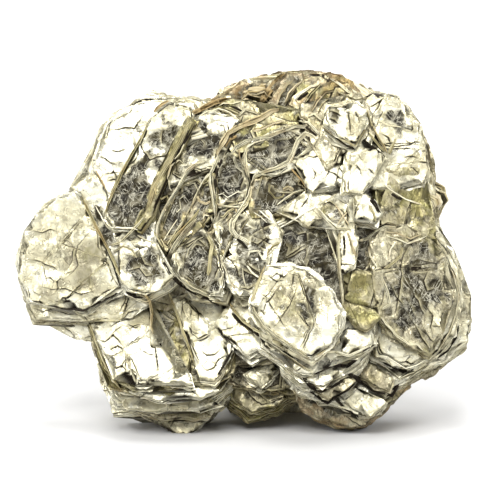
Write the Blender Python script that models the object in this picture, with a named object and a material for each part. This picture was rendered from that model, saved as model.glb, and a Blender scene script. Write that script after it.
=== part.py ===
"""Mica crystal: a hand-sized cluster of muscovite books that grew into each other, as one solid.

Every book is a stack of cleavage sheets. It is drawn as the outline of its outer sheet, and its deeper
sheets grow outward in ledges. The outlines of the front books are drawn on a plane that leans back by
LEAN, so x runs to the right and v up that plane, and depths run away from it. All the books are joined
into one body, cut flat where it rests. Drawing units are millimetres, the model is in metres, +Z is up.
"""

import math

import bmesh
import bpy
from mathutils import Vector

MM = 0.001
LEAN = math.radians(12.0)
RIGHT = Vector((1.0, 0.0, 0.0))
UP = Vector((0.0, math.sin(LEAN), math.cos(LEAN)))
AWAY = Vector((0.0, math.cos(LEAN), -math.sin(LEAN)))

LEDGE_SLOPE = 0.25        # how far a ledge's tread sinks across its width, in mm
WALL_FLARE = 0.10         # outward lean of the walls between two ledges, per mm of height
LEDGE_WAVER = 0.45        # how much a ledge's width varies around its book, as a share
GROUND_BLOCK = 400.0      # side of the block that is cut away below it
REST_LEVEL = -2.1         # height of the cut that the cluster rests on, in the drawing's own frame

# Front books: (name, depth of the outer sheet at its middle, turn to the right, tip upward, thickness,
# ledges as (share of the thickness, width in mm), outline as (x, v) clockwise from its top left).
# Turn and tip are slopes: millimetres of depth for each millimetre to the right or up.
FRONT_BOOKS = (
    # left lobe
    ("left_lobe", 3.2, -0.20, 0.04, 3.2, ((0.45, 0.5),),
     ((-37.0, 52.8), (-34.8, 50.2), (-30.3, 41.0), (-27.0, 33.6), (-26.0, 31.8), (-28.4, 30.6), (-32.0, 28.8),
      (-35.4, 27.0), (-38.2, 27.6), (-43.0, 28.4), (-47.2, 29.8), (-49.2, 34.0), (-49.6, 38.6), (-48.4, 43.0),
      (-45.8, 47.4), (-43.0, 50.0))),
    ("left_lobe_ledge", 6.2, -0.12, 0.10, 6.0, ((0.5, 0.6),),
     ((-40.0, 48.0), (-24.0, 36.0), (-20.6, 28.2), (-22.4, 27.2), (-25.0, 25.6), (-27.4, 24.2), (-30.0, 25.0),
      (-34.6, 24.8), (-45.4, 25.0), (-47.0, 27.6), (-48.2, 32.0), (-47.4, 40.0))),
    ("left_lobe_back", 11.0, -0.35, -0.15, 12.0, ((0.35, 0.8), (0.7, 0.7)),
     ((-40.0, 50.0), (-30.0, 48.0), (-24.0, 36.0), (-26.0, 26.0), (-33.2, 21.4), (-36.8, 20.8), (-41.0, 22.4),
      (-45.4, 25.4), (-47.6, 31.0), (-48.2, 38.0), (-46.0, 45.0))),
    # upper left terraces
    ("upper_left_back", 10.5, -0.15, 0.12, 10.0, ((0.3, 0.7), (0.65, 0.6)),
     ((-17.6, 73.6), (-9.0, 73.0), (-4.0, 66.0), (-10.0, 50.0), (-24.0, 46.0), (-34.0, 50.0), (-38.4, 53.8),
      (-35.4, 56.4), (-33.6, 60.4), (-31.8, 65.6), (-28.8, 68.8), (-26.0, 71.8), (-22.6, 73.2))),
    ("upper_left_bright", 5.0, -0.05, 0.22, 7.0, ((0.5, 0.6),),
     ((-16.0, 73.0), (-14.0, 66.0), (-22.0, 50.0), (-28.0, 46.0), (-30.8, 54.0), (-33.0, 57.6), (-32.2, 62.0),
      (-29.8, 67.4), (-27.2, 70.2), (-23.8, 72.2), (-20.0, 73.0))),
    ("upper_left_window", 1.2, -0.02, 0.22, 6.0, ((0.4, 0.5),),
     ((-16.4, 72.4), (-12.0, 72.0), (-10.6, 68.0), (-15.0, 60.0), (-19.6, 52.0), (-22.6, 46.6), (-24.6, 44.6),
      (-28.2, 45.0), (-30.2, 47.4), (-29.8, 50.8), (-27.4, 56.2), (-24.8, 60.6), (-22.0, 65.2), (-19.8, 69.8))),
    ("left_strip", 1.8, -0.30, 0.10, 6.5, ((0.6, 0.5),),
     ((-35.6, 52.8), (-32.8, 57.2), (-30.8, 54.4), (-29.4, 50.0), (-27.6, 43.6), (-24.0, 36.0), (-24.8, 32.4),
      (-26.4, 32.4), (-30.4, 41.0), (-33.6, 48.4))),
    ("ridge_plate", -0.4, -0.25, 0.20, 5.0, (),
     ((-12.4, 69.2), (-10.6, 68.6), (-13.4, 63.0), (-17.0, 57.6), (-18.6, 52.8), (-19.8, 48.0), (-22.6, 44.0),
      (-24.4, 44.8), (-20.8, 50.2), (-19.8, 55.2), (-17.0, 60.6), (-14.6, 65.4))),
    ("grey_plate", -1.2, -0.05, 0.18, 7.0, ((0.5, 0.5),),
     ((-27.8, 41.2), (-23.0, 42.8), (-18.8, 41.8), (-17.6, 37.4), (-14.8, 34.8), (-17.2, 32.4), (-21.6, 31.0),
      (-25.4, 31.6), (-26.8, 34.6))),
    ("under_window_plate", 0.2, 0.10, 0.35, 6.0, (),
     ((-28.4, 43.2), (-24.2, 44.8), (-19.6, 47.2), (-18.4, 43.0), (-20.0, 39.0), (-24.0, 38.6), (-27.6, 40.4))),
    # fan of narrow plates in the middle
    ("fan_grey", 2.6, -0.10, 0.30, 8.0, ((0.5, 0.5),),
     ((-9.6, 69.6), (-6.4, 70.6), (-3.0, 69.6), (-0.8, 68.0), (-3.4, 62.6), (-5.6, 58.4), (-12.0, 56.0),
      (-16.8, 54.0), (-15.6, 58.8), (-13.0, 64.6), (-11.6, 67.8))),
    ("fan_blade_a", 1.6, -0.22, 0.12, 7.0, (),
     ((-15.4, 58.8), (-12.6, 59.6), (-13.6, 54.0), (-17.0, 48.4), (-18.0, 44.2), (-20.2, 44.0), (-20.0, 50.0),
      (-18.8, 54.6))),
    ("fan_blade_b", 0.6, -0.18, 0.14, 7.0, ((0.5, 0.4),),
     ((-11.6, 58.2), (-6.0, 59.8), (-7.4, 54.6), (-10.4, 50.4), (-13.6, 45.0), (-16.8, 40.0), (-18.6, 41.8),
      (-18.8, 45.6), (-16.6, 49.8), (-13.8, 54.6))),
    ("fan_blade_c", -0.4, -0.15, 0.12, 7.0, (),
     ((-8.8, 54.8), (-6.4, 56.8), (-5.8, 52.0), (-6.4, 48.4), (-9.6, 44.8), (-14.4, 40.6), (-16.8, 40.2),
      (-14.6, 44.0), (-11.8, 49.2))),
    ("fan_blade_d", -0.2, 0.12, 0.12, 7.0, (),
     ((-3.6, 50.0), (0.2, 50.6), (2.0, 47.6), (-1.6, 43.6), (-4.4, 38.6), (-6.2, 41.4), (-6.6, 46.6))),
    ("fan_dark_oval", 1.4, 0.05, 0.16, 7.0, ((0.5, 0.4),),
     ((-5.8, 59.4), (-3.6, 61.6), (-0.6, 61.0), (0.8, 57.6), (1.0, 53.8), (0.0, 50.2), (-2.0, 49.2),
      (-5.8, 49.6), (-7.2, 53.0), (-7.0, 56.4))),
    ("fan_gold_band", 4.6, 0.00, 0.35, 8.0, ((0.5, 0.6),),
     ((-6.0, 71.6), (-3.8, 72.8), (2.6, 72.6), (3.6, 70.4), (12.0, 70.8), (13.6, 67.0), (8.0, 63.0),
      (-3.0, 60.8), (-4.8, 64.2), (-2.4, 67.2), (-5.0, 70.0))),
    ("fan_window", 1.8, 0.06, 0.22, 6.0, ((0.5, 0.5),),
     ((0.8, 63.4), (5.0, 65.2), (9.0, 67.4), (12.4, 67.6), (15.2, 65.0), (15.0, 60.2), (10.2, 57.6),
      (4.6, 56.6), (1.0, 57.2), (-0.4, 60.0))),
    ("fan_brown_plate", 0.6, 0.02, 0.20, 6.0, ((0.5, 0.5),),
     ((1.8, 56.0), (5.4, 57.8), (9.8, 59.6), (12.4, 57.4), (14.6, 53.0), (14.0, 50.2), (7.0, 47.0),
      (2.2, 47.4), (0.4, 50.2), (1.0, 53.0))),
    ("shell_lobe", -1.6, -0.10, 0.16, 7.0, ((0.3, 0.5), (0.65, 0.5)),
     ((-12.8, 43.4), (-9.6, 45.4), (-6.8, 43.0), (-4.8, 38.8), (-4.6, 33.0), (-5.0, 30.4), (-8.0, 30.6),
      (-11.2, 32.2), (-13.8, 34.6), (-15.8, 38.2), (-15.4, 40.4))),
    ("shell_blade", -0.8, -0.20, 0.12, 7.0, (),
     ((-4.8, 48.0), (-1.8, 49.6), (-2.4, 45.0), (-3.4, 40.4), (-5.2, 36.6), (-7.4, 38.8), (-8.2, 43.2),
      (-6.8, 46.8))),
    # centre-right stack, outer sheet first
    ("oval_plate", -6.6, -0.04, 0.18, 3.4, ((0.4, 0.5),),
     ((5.0, 36.9), (10.4, 37.0), (15.4, 34.4), (19.2, 30.7), (20.8, 27.0), (20.6, 22.8), (18.4, 19.8),
      (14.6, 17.0), (11.8, 18.0), (6.4, 22.0), (3.2, 25.0), (1.2, 28.7), (2.6, 31.8))),
    ("window_stack", -2.6, 0.00, 0.22, 8.0, ((0.3, 0.5), (0.65, 0.6)),
     ((6.6, 46.4), (9.4, 48.2), (14.8, 49.9), (17.8, 47.2), (20.8, 43.6), (21.4, 36.0), (21.2, 28.0),
      (20.6, 20.6), (17.4, 17.6), (14.8, 15.4), (9.4, 18.0), (3.8, 22.0), (2.2, 26.0), (3.4, 33.0),
      (4.8, 38.6))),
    ("left_flap", -1.4, -0.12, 0.20, 8.0, ((0.5, 0.5),),
     ((-2.8, 46.6), (0.8, 49.4), (5.2, 48.6), (8.0, 44.0), (6.0, 34.0), (2.2, 30.4), (-0.6, 30.0),
      (-2.8, 31.8), (-4.6, 34.2), (-4.7, 38.2), (-3.0, 42.8))),
    ("left_flap_low", 1.0, -0.15, 0.25, 8.0, ((0.5, 0.5),),
     ((-2.0, 32.0), (4.0, 32.0), (6.0, 24.0), (4.6, 20.4), (2.6, 22.4), (-0.6, 25.2), (-3.2, 28.6))),
    ("ledge_1", -3.0, 0.00, 0.24, 4.0, ((0.5, 0.5),),
     ((4.0, 26.0), (20.0, 34.0), (28.2, 30.0), (28.3, 20.0), (24.0, 16.8), (20.4, 16.9), (17.2, 15.6),
      (14.9, 13.3), (12.8, 13.2), (9.0, 15.6), (3.8, 19.4))),
    ("ledge_2", -0.4, 0.00, 0.25, 4.0, ((0.5, 0.5),),
     ((4.0, 26.0), (20.0, 30.0), (30.0, 28.0), (27.6, 18.6), (24.6, 15.4), (20.6, 13.2), (16.6, 10.8),
      (13.2, 11.8), (9.0, 14.2))),
    ("ledge_3", 2.6, 0.02, 0.22, 4.4, ((0.5, 0.5),),
     ((4.0, 24.0), (20.0, 28.0), (30.0, 22.0), (25.4, 14.0), (22.6, 11.8), (18.4, 9.0), (15.8, 8.6),
      (12.4, 10.2), (9.2, 13.6))),
    ("bottom_plate", 5.6, 0.06, 0.34, 3.2, (),
     ((14.0, 12.0), (22.0, 14.0), (31.0, 10.0), (31.2, 7.2), (30.0, 5.2), (25.4, 4.0), (21.6, 6.4),
      (17.0, 7.2))),
    ("bottom_foot", 8.6, 0.02, 0.16, 9.0, ((0.3, -0.5), (0.6, -0.6)),
     ((9.0, 14.0), (26.0, 18.0), (38.0, 13.0), (35.8, 10.2), (32.8, 7.4), (29.8, 4.2), (26.8, 2.2),
      (23.8, 1.3), (20.2, 1.8), (15.6, 3.6), (12.8, 5.8), (11.2, 9.0))),
    # small plates between the centre stack and the right book
    ("olive_pane", -1.6, 0.10, 0.10, 6.0, (),
     ((21.2, 35.8), (25.6, 36.2), (30.6, 34.6), (31.2, 31.0), (29.0, 27.6), (25.0, 27.6), (21.2, 29.6))),
    ("dark_pane", 0.4, 0.08, 0.16, 6.0, (),
     ((22.6, 47.4), (26.8, 47.4), (30.0, 44.6), (29.4, 39.0), (26.0, 35.4), (22.8, 36.6))),
    ("diamond_flake", -4.4, 0.05, 0.22, 3.6, (),
     ((21.4, 29.2), (24.0, 28.0), (27.8, 27.0), (29.2, 25.3), (26.2, 22.9), (24.6, 23.2), (22.8, 25.2),
      (20.8, 26.8))),
    ("low_bright_flake", -3.6, 0.00, 0.25, 3.6, (),
     ((22.4, 23.0), (27.8, 22.4), (28.4, 20.2), (24.4, 17.4), (21.6, 17.8), (20.8, 20.2))),
    ("crossing_rim", -1.2, 0.10, 0.25, 6.0, (),
     ((15.6, 49.9), (20.0, 51.6), (23.6, 48.2), (24.8, 42.6), (24.0, 36.4), (20.9, 34.6), (20.2, 44.6))),
    # right book
    ("right_book", 0.6, 0.26, 0.06, 4.6, ((0.4, 0.5),),
     ((30.2, 45.2), (35.8, 45.2), (40.2, 43.4), (43.6, 39.0), (45.2, 34.4), (45.6, 30.0), (44.4, 24.8),
      (42.0, 19.6), (40.6, 17.2), (36.2, 19.2), (32.6, 21.4), (29.2, 25.6), (28.4, 33.0), (27.6, 42.4))),
    ("right_book_ledge_1", 4.0, 0.22, 0.08, 4.6, ((0.5, 0.5),),
     ((31.0, 46.0), (41.6, 45.6), (45.4, 39.2), (47.4, 33.6), (47.6, 28.0), (46.0, 21.8), (42.6, 17.2),
      (39.8, 16.4), (36.2, 14.4), (33.2, 15.2), (29.0, 16.8), (27.0, 22.0), (28.0, 36.0))),
    ("right_book_ledge_2", 7.6, 0.20, 0.06, 5.0, ((0.5, 0.6),),
     ((31.0, 48.0), (42.8, 45.4), (46.8, 37.4), (49.2, 30.0), (49.8, 24.6), (48.6, 19.4), (44.2, 15.6),
      (38.0, 13.3), (34.2, 11.7), (30.4, 13.4), (26.4, 15.8), (26.0, 30.0))),
    ("right_book_back", 11.6, 0.14, -0.05, 13.0, ((0.3, 0.6), (0.65, -0.2)),
     ((28.0, 45.0), (38.4, 46.4), (43.0, 41.4), (46.2, 36.0), (48.6, 29.0), (49.2, 23.2), (47.6, 18.0),
      (42.4, 14.2), (36.0, 11.0), (31.2, 9.4), (25.4, 12.4), (24.0, 30.0))),
    ("right_foot_ledge", 5.0, 0.10, 0.26, 4.2, ((0.5, 0.4),),
     ((23.4, 18.0), (34.0, 20.0), (40.0, 15.0), (34.2, 10.9), (31.0, 9.0), (28.6, 10.4), (24.2, 13.4))),
    # top right crumpled plates
    ("crumpled_white", 1.0, 0.04, 0.30, 7.0, ((0.5, 0.5),),
     ((15.6, 64.0), (17.2, 65.0), (20.2, 65.0), (24.2, 62.0), (25.4, 57.6), (22.2, 53.2), (17.0, 55.0),
      (14.8, 52.2), (12.8, 55.8), (10.4, 59.8), (13.4, 60.8))),
    ("crumpled_tongue", 0.4, 0.12, 0.28, 6.0, (),
     ((24.0, 64.4), (27.4, 62.8), (31.2, 60.2), (30.0, 58.4), (28.2, 55.8), (25.6, 52.0), (21.6, 53.0),
      (21.8, 59.8))),
    ("crumpled_low", -0.4, 0.02, 0.24, 6.5, ((0.5, 0.5),),
     ((7.0, 48.6), (9.6, 51.6), (14.4, 52.8), (21.0, 54.6), (24.0, 53.0), (22.6, 47.2), (20.6, 44.4),
      (13.0, 46.0))),
    ("v_plate", 0.4, 0.06, 0.42, 5.0, ((0.5, 0.5),),
     ((18.4, 71.6), (21.4, 71.4), (24.6, 72.6), (26.4, 70.6), (26.2, 66.8), (24.3, 63.0), (20.0, 65.2),
      (17.4, 67.2))),
    ("v_plate_backing", 3.4, 0.04, 0.34, 8.0, ((0.5, 0.6),),
     ((12.0, 71.6), (18.0, 73.2), (25.0, 74.4), (28.4, 70.0), (27.6, 62.0), (18.0, 58.0), (13.6, 64.2))),
    ("right_shoulder", 5.4, 0.20, 0.34, 9.0, ((0.3, 0.6), (0.65, 0.5)),
     ((26.0, 73.0), (29.2, 74.8), (33.2, 74.4), (36.0, 72.0), (37.8, 68.0), (39.4, 63.2), (40.6, 59.6),
      (39.4, 54.6), (34.0, 53.0), (28.0, 54.0), (25.8, 60.0), (27.6, 67.0))),
    ("right_shoulder_low", 2.8, 0.22, 0.20, 8.0, ((0.5, 0.6),),
     ((31.0, 58.0), (35.2, 58.6), (39.6, 58.0), (40.2, 52.0), (41.6, 46.0), (42.2, 42.0), (38.0, 41.6),
      (33.6, 42.8), (29.6, 44.8), (28.0, 50.0), (28.6, 55.0))),
    ("small_bright_flake", -1.4, 0.04, 0.26, 5.0, (),
     ((24.0, 52.6), (26.4, 52.6), (30.2, 48.4), (28.8, 45.4), (26.4, 47.0), (23.4, 46.8), (22.4, 49.6))),
    ("right_shoulder_back", 12.0, 0.16, 0.18, 12.0, ((0.3, 0.7), (0.65, 0.5)),
     ((24.0, 73.0), (30.0, 74.6), (36.2, 71.6), (39.4, 66.0), (41.2, 60.0), (42.2, 52.0), (43.4, 42.0),
      (40.0, 36.0), (26.0, 36.0), (22.0, 56.0))),
    # top, behind
    ("top_blade_a", 10.0, -0.30, 0.30, 9.0, (),
     ((7.6, 75.8), (9.4, 79.4), (12.6, 78.8), (13.4, 72.0), (9.0, 66.0), (3.0, 68.0), (3.4, 71.8),
      (5.2, 75.4))),
    ("top_blade_b", 8.6, -0.20, 0.35, 9.0, ((0.5, 0.5),),
     ((11.6, 77.4), (14.8, 79.0), (18.4, 78.4), (18.6, 72.0), (14.0, 66.0), (8.0, 68.0), (8.6, 73.4))),
    ("top_blade_c", 7.4, 0.10, 0.40, 9.0, ((0.5, 0.5),),
     ((16.6, 76.8), (20.4, 78.0), (23.6, 77.2), (25.6, 74.6), (24.0, 68.0), (15.0, 66.0), (14.4, 71.6))),
    ("top_back", 15.0, 0.04, 0.16, 13.0, ((0.3, 0.7), (0.65, 0.5)),
     ((-4.6, 74.0), (-2.0, 76.6), (1.0, 77.8), (4.6, 77.0), (8.2, 79.2), (12.4, 79.8), (19.2, 79.2),
      (23.4, 77.4), (26.0, 73.0), (24.0, 56.0), (-2.0, 56.0), (-9.0, 66.0), (-8.4, 72.6))),
    # bottom left book, tipped up
    ("low_book", 4.0, -0.06, 0.52, 3.0, ((0.5, 0.4),),
     ((-34.3, 24.6), (-30.0, 27.0), (-22.0, 32.0), (-15.0, 34.0), (-8.0, 32.0), (-2.4, 26.0), (-2.2, 18.6),
      (-3.8, 13.6), (-6.4, 11.2), (-10.0, 11.2), (-13.0, 10.2), (-23.6, 10.2), (-28.6, 11.8), (-31.0, 16.4))),
    ("low_book_left_sheet", 1.5, -0.06, 0.52, 2.4, (),
     ((-33.4, 24.2), (-28.0, 26.6), (-21.0, 30.6), (-20.4, 25.0), (-19.6, 21.2), (-17.4, 18.4), (-15.4, 14.8),
      (-15.3, 12.2), (-12.0, 13.6), (-11.2, 10.9), (-23.2, 10.9), (-25.8, 12.4), (-28.2, 12.4),
      (-30.4, 16.4))),
    ("low_book_right_sheet", 2.7, -0.06, 0.52, 2.4, (),
     ((-16.6, 31.4), (-14.0, 33.6), (-8.0, 31.0), (-3.0, 26.6), (-2.6, 19.0), (-4.4, 14.2), (-6.6, 11.9),
      (-9.6, 12.2), (-12.2, 19.0))),
    ("low_book_stack", 7.6, -0.06, 0.46, 8.0, ((0.3, 0.6), (0.65, 0.6)),
     ((-33.0, 22.0), (-22.0, 32.0), (-6.0, 32.0), (-1.2, 22.0), (-1.8, 15.0), (-5.2, 10.4), (-9.8, 8.0),
      (-15.0, 7.6), (-20.0, 8.2), (-26.8, 8.2), (-30.0, 12.0))),
    ("low_book_foot", 11.0, 0.00, 0.14, 9.0, ((0.3, -0.5), (0.6, -0.6)),
     ((-30.0, 20.0), (-14.0, 28.0), (-2.0, 18.0), (-2.2, 8.8), (-4.6, 6.0), (-7.2, 4.0), (-9.6, 1.8),
      (-11.0, 0.3), (-15.8, 0.3), (-17.4, 2.2), (-19.4, 3.8), (-26.8, 4.9), (-29.6, 12.4))),
    # flakes at the bottom centre
    ("centre_flake", 1.2, -0.10, 0.34, 5.0, ((0.5, 0.4),),
     ((-4.4, 27.2), (-3.2, 28.6), (-0.4, 25.4), (3.0, 22.4), (4.2, 18.7), (3.0, 18.2), (1.0, 17.3),
      (-1.6, 19.2), (-6.4, 23.4))),
    ("recess_plate", 7.4, 0.02, 0.30, 8.0, ((0.5, 0.5),),
     ((-4.0, 22.0), (6.0, 24.0), (12.0, 18.0), (12.4, 9.4), (6.0, 9.8), (2.0, 10.2), (-3.6, 11.2),
      (-4.8, 16.0))),
    ("white_flake", 5.4, 0.06, 0.40, 3.4, (),
     ((0.0, 13.2), (3.0, 14.6), (6.0, 15.8), (8.4, 14.4), (5.6, 11.4), (3.8, 10.2), (1.6, 11.2))),
    ("round_flake", 9.0, 0.04, 0.30, 6.0, ((0.5, 0.4),),
     ((-2.6, 11.8), (2.0, 13.0), (10.0, 13.0), (9.8, 8.0), (6.4, 5.8), (1.6, 4.9), (-0.6, 5.9),
      (-2.0, 7.4))),
    # the middle that the others grow from
    ("heart", 9.0, 0.00, 0.12, 22.0, ((0.25, 1.2),),
     ((-12.0, 62.0), (2.0, 68.0), (16.0, 67.0), (28.0, 58.0), (33.0, 44.0), (31.0, 28.0), (20.0, 19.0),
      (4.0, 15.0), (-14.0, 17.0), (-26.0, 28.0), (-29.0, 42.0), (-22.0, 54.0))),
)


def drawn_point(x, v, depth):
    """The point at x to the right, v up the leaning plane and depth behind it, all in mm."""
    return (RIGHT * x + UP * v + AWAY * depth) * MM


def middle_of(outline):
    """The mean of an outline's points."""
    count = len(outline)
    return sum(p[0] for p in outline) / count, sum(p[1] for p in outline) / count


def rings_of(thickness, ledges):
    """(inward distance, outward growth) of each ring of a book, from its outer sheet to its back."""
    rings = [(0.0, 0.0)]
    inward = growth = 0.0
    for share, width in ledges:
        growth += (share * thickness - inward) * WALL_FLARE
        inward = share * thickness
        rings.append((inward, growth))
        inward += LEDGE_SLOPE
        growth += width
        rings.append((inward, growth))
    rings.append((thickness, growth + (thickness - inward) * WALL_FLARE))
    return rings


def book_mesh(name, depth, turn, tip, thickness, ledges, outline):
    """A closed stack whose outer sheet faces the front."""
    middle_x, middle_v = middle_of(outline)
    length = math.sqrt(1.0 + turn * turn + tip * tip)
    inward_step = Vector((-turn, -tip, 1.0)) / length
    bm = bmesh.new()
    rows = []
    for inward, growth in rings_of(thickness, ledges):
        row = []
        for i, (x, v) in enumerate(outline):
            spoke = Vector((x - middle_x, v - middle_v))
            waver = 1.0 + LEDGE_WAVER * math.sin(2.4 * i + 0.9 * middle_x)
            spoke *= 1.0 + growth * waver / spoke.length
            sheet_depth = depth + turn * spoke.x + tip * spoke.y
            shift = inward_step * inward
            row.append(bm.verts.new(drawn_point(
                middle_x + spoke.x + shift.x, middle_v + spoke.y + shift.y, sheet_depth + shift.z)))
        rows.append(row)
    return close_rows(bm, rows, name)


# Crystals on the sides, the top and the back, as six-sided prisms with stepped ends: (name, centre of the
# outer sheet, way it looks in degrees round from the front by the right, degrees tipped up, degrees spun in
# its own plane, mean distance from its centre to a side, thickness, terraces as (share of the thickness,
# width), a number that sets how uneven its sides are)
ROUND_CRYSTALS = (
    ("back_main", (6.0, 49.0, 42.0), 186.0, 4.0, 10.0, 14.0, 20.0, ((0.1, 3.4), (0.25, 2.6), (0.5, 1.4)), 1.0),
    ("back_high", (-14.0, 45.5, 54.0), 204.0, 12.0, 34.0, 9.5, 18.0, ((0.12, 2.6), (0.3, 2.0), (0.6, 0.8)), 2.3),
    ("back_high_right", (22.0, 46.0, 56.0), 166.0, 12.0, 0.0, 9.0, 18.0, ((0.12, 2.6), (0.3, 1.8), (0.6, 0.8)), 3.1),
    ("back_low_right", (26.0, 44.0, 30.0), 158.0, -4.0, 22.0, 10.0, 18.0, ((0.12, 2.8), (0.3, 2.0), (0.6, 1.0)), 4.4),
    ("back_low_left", (-14.0, 44.5, 29.0), 202.0, -4.0, 50.0, 11.0, 18.0, ((0.12, 2.8), (0.3, 2.0), (0.6, 1.0)), 5.2),
    ("back_foot", (5.0, 44.0, 9.5), 180.0, -10.0, 30.0, 11.0, 13.0, ((0.15, 2.2), (0.4, 1.8)), 6.7),
    ("back_shoulder", (-28.0, 37.0, 44.0), 226.0, 4.0, 12.0, 10.0, 18.0, ((0.15, 2.4), (0.4, 2.0)), 3.7),
    ("back_cheek", (37.0, 37.0, 45.0), 136.0, 6.0, 42.0, 9.0, 18.0, ((0.15, 2.4), (0.4, 2.0)), 4.9),
    ("left_side", (-41.5, 31.0, 37.0), 256.0, 4.0, 8.0, 7.0, 14.0, ((0.15, 2.2), (0.4, 1.8)), 7.9),
    ("left_high", (-31.0, 33.0, 54.0), 246.0, 22.0, 30.0, 6.5, 14.0, ((0.15, 2.2), (0.4, 1.6)), 5.6),
    ("left_low", (-28.0, 29.0, 19.0), 242.0, -20.0, 20.0, 7.5, 12.0, ((0.2, 2.0), (0.5, 1.6)), 1.7),
    ("right_side", (42.5, 33.0, 30.0), 108.0, 2.0, 18.0, 7.0, 14.0, ((0.15, 2.0), (0.4, 1.4)), 8.8),
    ("right_low", (33.0, 33.0, 15.0), 124.0, -20.0, 0.0, 7.5, 12.0, ((0.2, 2.0), (0.5, 1.6)), 2.9),
    ("top_left", (-14.0, 34.0, 63.5), 214.0, 50.0, 14.0, 7.5, 12.0, ((0.2, 2.0), (0.5, 1.4)), 9.6),
    ("top_right", (21.0, 37.0, 66.5), 156.0, 44.0, 40.0, 7.0, 12.0, ((0.2, 2.0), (0.5, 1.4)), 10.2),
    ("top_middle", (3.0, 39.0, 66.0), 178.0, 46.0, 26.0, 6.5, 12.0, ((0.2, 2.0), (0.5, 1.4)), 11.3),
    ("back_blade", (-4.0, 50.5, 51.0), 192.0, 10.0, 52.0, 6.5, 9.0, ((0.25, 1.6), (0.6, 1.2)), 11.5),
    ("back_blade_low", (15.0, 51.0, 32.0), 172.0, -6.0, 36.0, 6.5, 9.0, ((0.25, 1.6), (0.6, 1.2)), 12.1),
    ("back_tilted", (18.0, 50.0, 50.0), 150.0, -12.0, 6.0, 5.5, 9.0, ((0.25, 1.6), (0.6, 1.2)), 13.7),
    ("back_tilted_low", (-6.0, 49.5, 27.0), 222.0, -14.0, 28.0, 6.0, 9.0, ((0.25, 1.6), (0.6, 1.2)), 14.6),
)
SIDES = 6                 # mica's cleavage sheets are nearly regular hexagons
SIDE_SPREAD = 0.26        # how unevenly far the sides of a round crystal stand, as a share
SIDE_TWIST = 5.0          # degrees that its sides stray from 60 to each other
TERRACE_SPREAD = 0.75     # how unevenly wide its terraces are, as a share


def crystal_corners(spun, reaches, number):
    """The corners of the hexagon whose sides stand at these distances from its centre."""
    angles = [math.radians(60.0 * k + spun + SIDE_TWIST * math.sin(4.1 * k + 2.2 * number))
              for k in range(SIDES)]
    corners = []
    for k in range(SIDES):
        one, two = angles[k], angles[(k + 1) % SIDES]
        reach_one, reach_two = reaches[k], reaches[(k + 1) % SIDES]
        sine = math.sin(two - one)
        corners.append(Vector(((reach_one * math.sin(two) - reach_two * math.sin(one)) / sine,
                               (reach_two * math.cos(one) - reach_one * math.cos(two)) / sine)))
    return corners


def crystal_mesh(name, centre, looks, tipped, spun, reach, thickness, terraces, number):
    """A closed six-sided prism whose stepped end faces the way it looks."""
    turned, raised = math.radians(looks), math.radians(tipped)
    outward = Vector((math.sin(turned) * math.cos(raised), -math.cos(turned) * math.cos(raised),
                      math.sin(raised)))
    across = Vector((math.cos(turned), math.sin(turned), 0.0))
    along = outward.cross(across)
    first = [reach * (1.0 + SIDE_SPREAD * math.sin(2.6 * k + 4.3 * number)) for k in range(SIDES)]
    uneven = [1.0 + TERRACE_SPREAD * math.sin(1.9 * k + 3.3 * number) for k in range(SIDES)]
    bm = bmesh.new()
    rows = []
    for inward, growth in rings_of(thickness, terraces):
        reaches = [first[k] + growth * uneven[k] for k in range(SIDES)]
        row = []
        for corner in crystal_corners(spun, reaches, number):
            point = Vector(centre) + across * corner.x + along * corner.y - outward * inward
            row.append(bm.verts.new(point * MM))
        rows.append(row)
    return close_rows(bm, rows, name)


def close_rows(bm, rows, name):
    """Joins rings of points into a closed, outward-facing mesh."""
    bm.faces.new(rows[0])
    bm.faces.new(reversed(rows[-1]))
    count = len(rows[0])
    for near, far in zip(rows, rows[1:]):
        for i in range(count):
            j = (i + 1) % count
            bm.faces.new((near[j], near[i], far[i], far[j]))
    bmesh.ops.recalc_face_normals(bm, faces=bm.faces)
    bmesh.ops.triangulate(bm, faces=bm.faces)
    mesh = bpy.data.meshes.new(name)
    bm.to_mesh(mesh)
    bm.free()
    return mesh


def join_books(meshes):
    """One solid from all the books, with everything below the rest level cut away."""
    books = bpy.data.collections.new("books")
    bpy.context.scene.collection.children.link(books)
    objects = [bpy.data.objects.new(mesh.name, mesh) for mesh in meshes]
    for book in objects[1:]:
        books.objects.link(book)
    whole = objects[0]
    bpy.context.collection.objects.link(whole)
    union = whole.modifiers.new("join", "BOOLEAN")
    union.operation = "UNION"
    union.solver = "EXACT"
    union.operand_type = "COLLECTION"
    union.collection = books

    ground = bpy.data.objects.new("ground_cut", ground_mesh())
    bpy.context.collection.objects.link(ground)
    cut = whole.modifiers.new("rest", "BOOLEAN")
    cut.operation = "DIFFERENCE"
    cut.solver = "EXACT"
    cut.object = ground

    depsgraph = bpy.context.evaluated_depsgraph_get()
    joined = bpy.data.meshes.new_from_object(whole.evaluated_get(depsgraph))
    for used in objects + [ground]:
        bpy.data.objects.remove(used)
    bpy.data.collections.remove(books)
    return joined


def fill_pockets(mesh):
    """Removes the walls of the closed pockets that the books leave between them, deep inside."""
    bm = bmesh.new()
    bm.from_mesh(mesh)
    left = set(bm.verts)
    islands = []
    while left:
        island, edge_of_it = set(), [left.pop()]
        while edge_of_it:
            vertex = edge_of_it.pop()
            island.add(vertex)
            fresh = {edge.other_vert(vertex) for edge in vertex.link_edges} & left
            left -= fresh
            edge_of_it.extend(fresh)
        islands.append(island)
    outside = max(islands, key=len)
    bmesh.ops.delete(bm, geom=[vertex for vertex in bm.verts if vertex not in outside], context="VERTS")
    bmesh.ops.triangulate(bm, faces=bm.faces)
    bm.to_mesh(mesh)
    bm.free()


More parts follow.
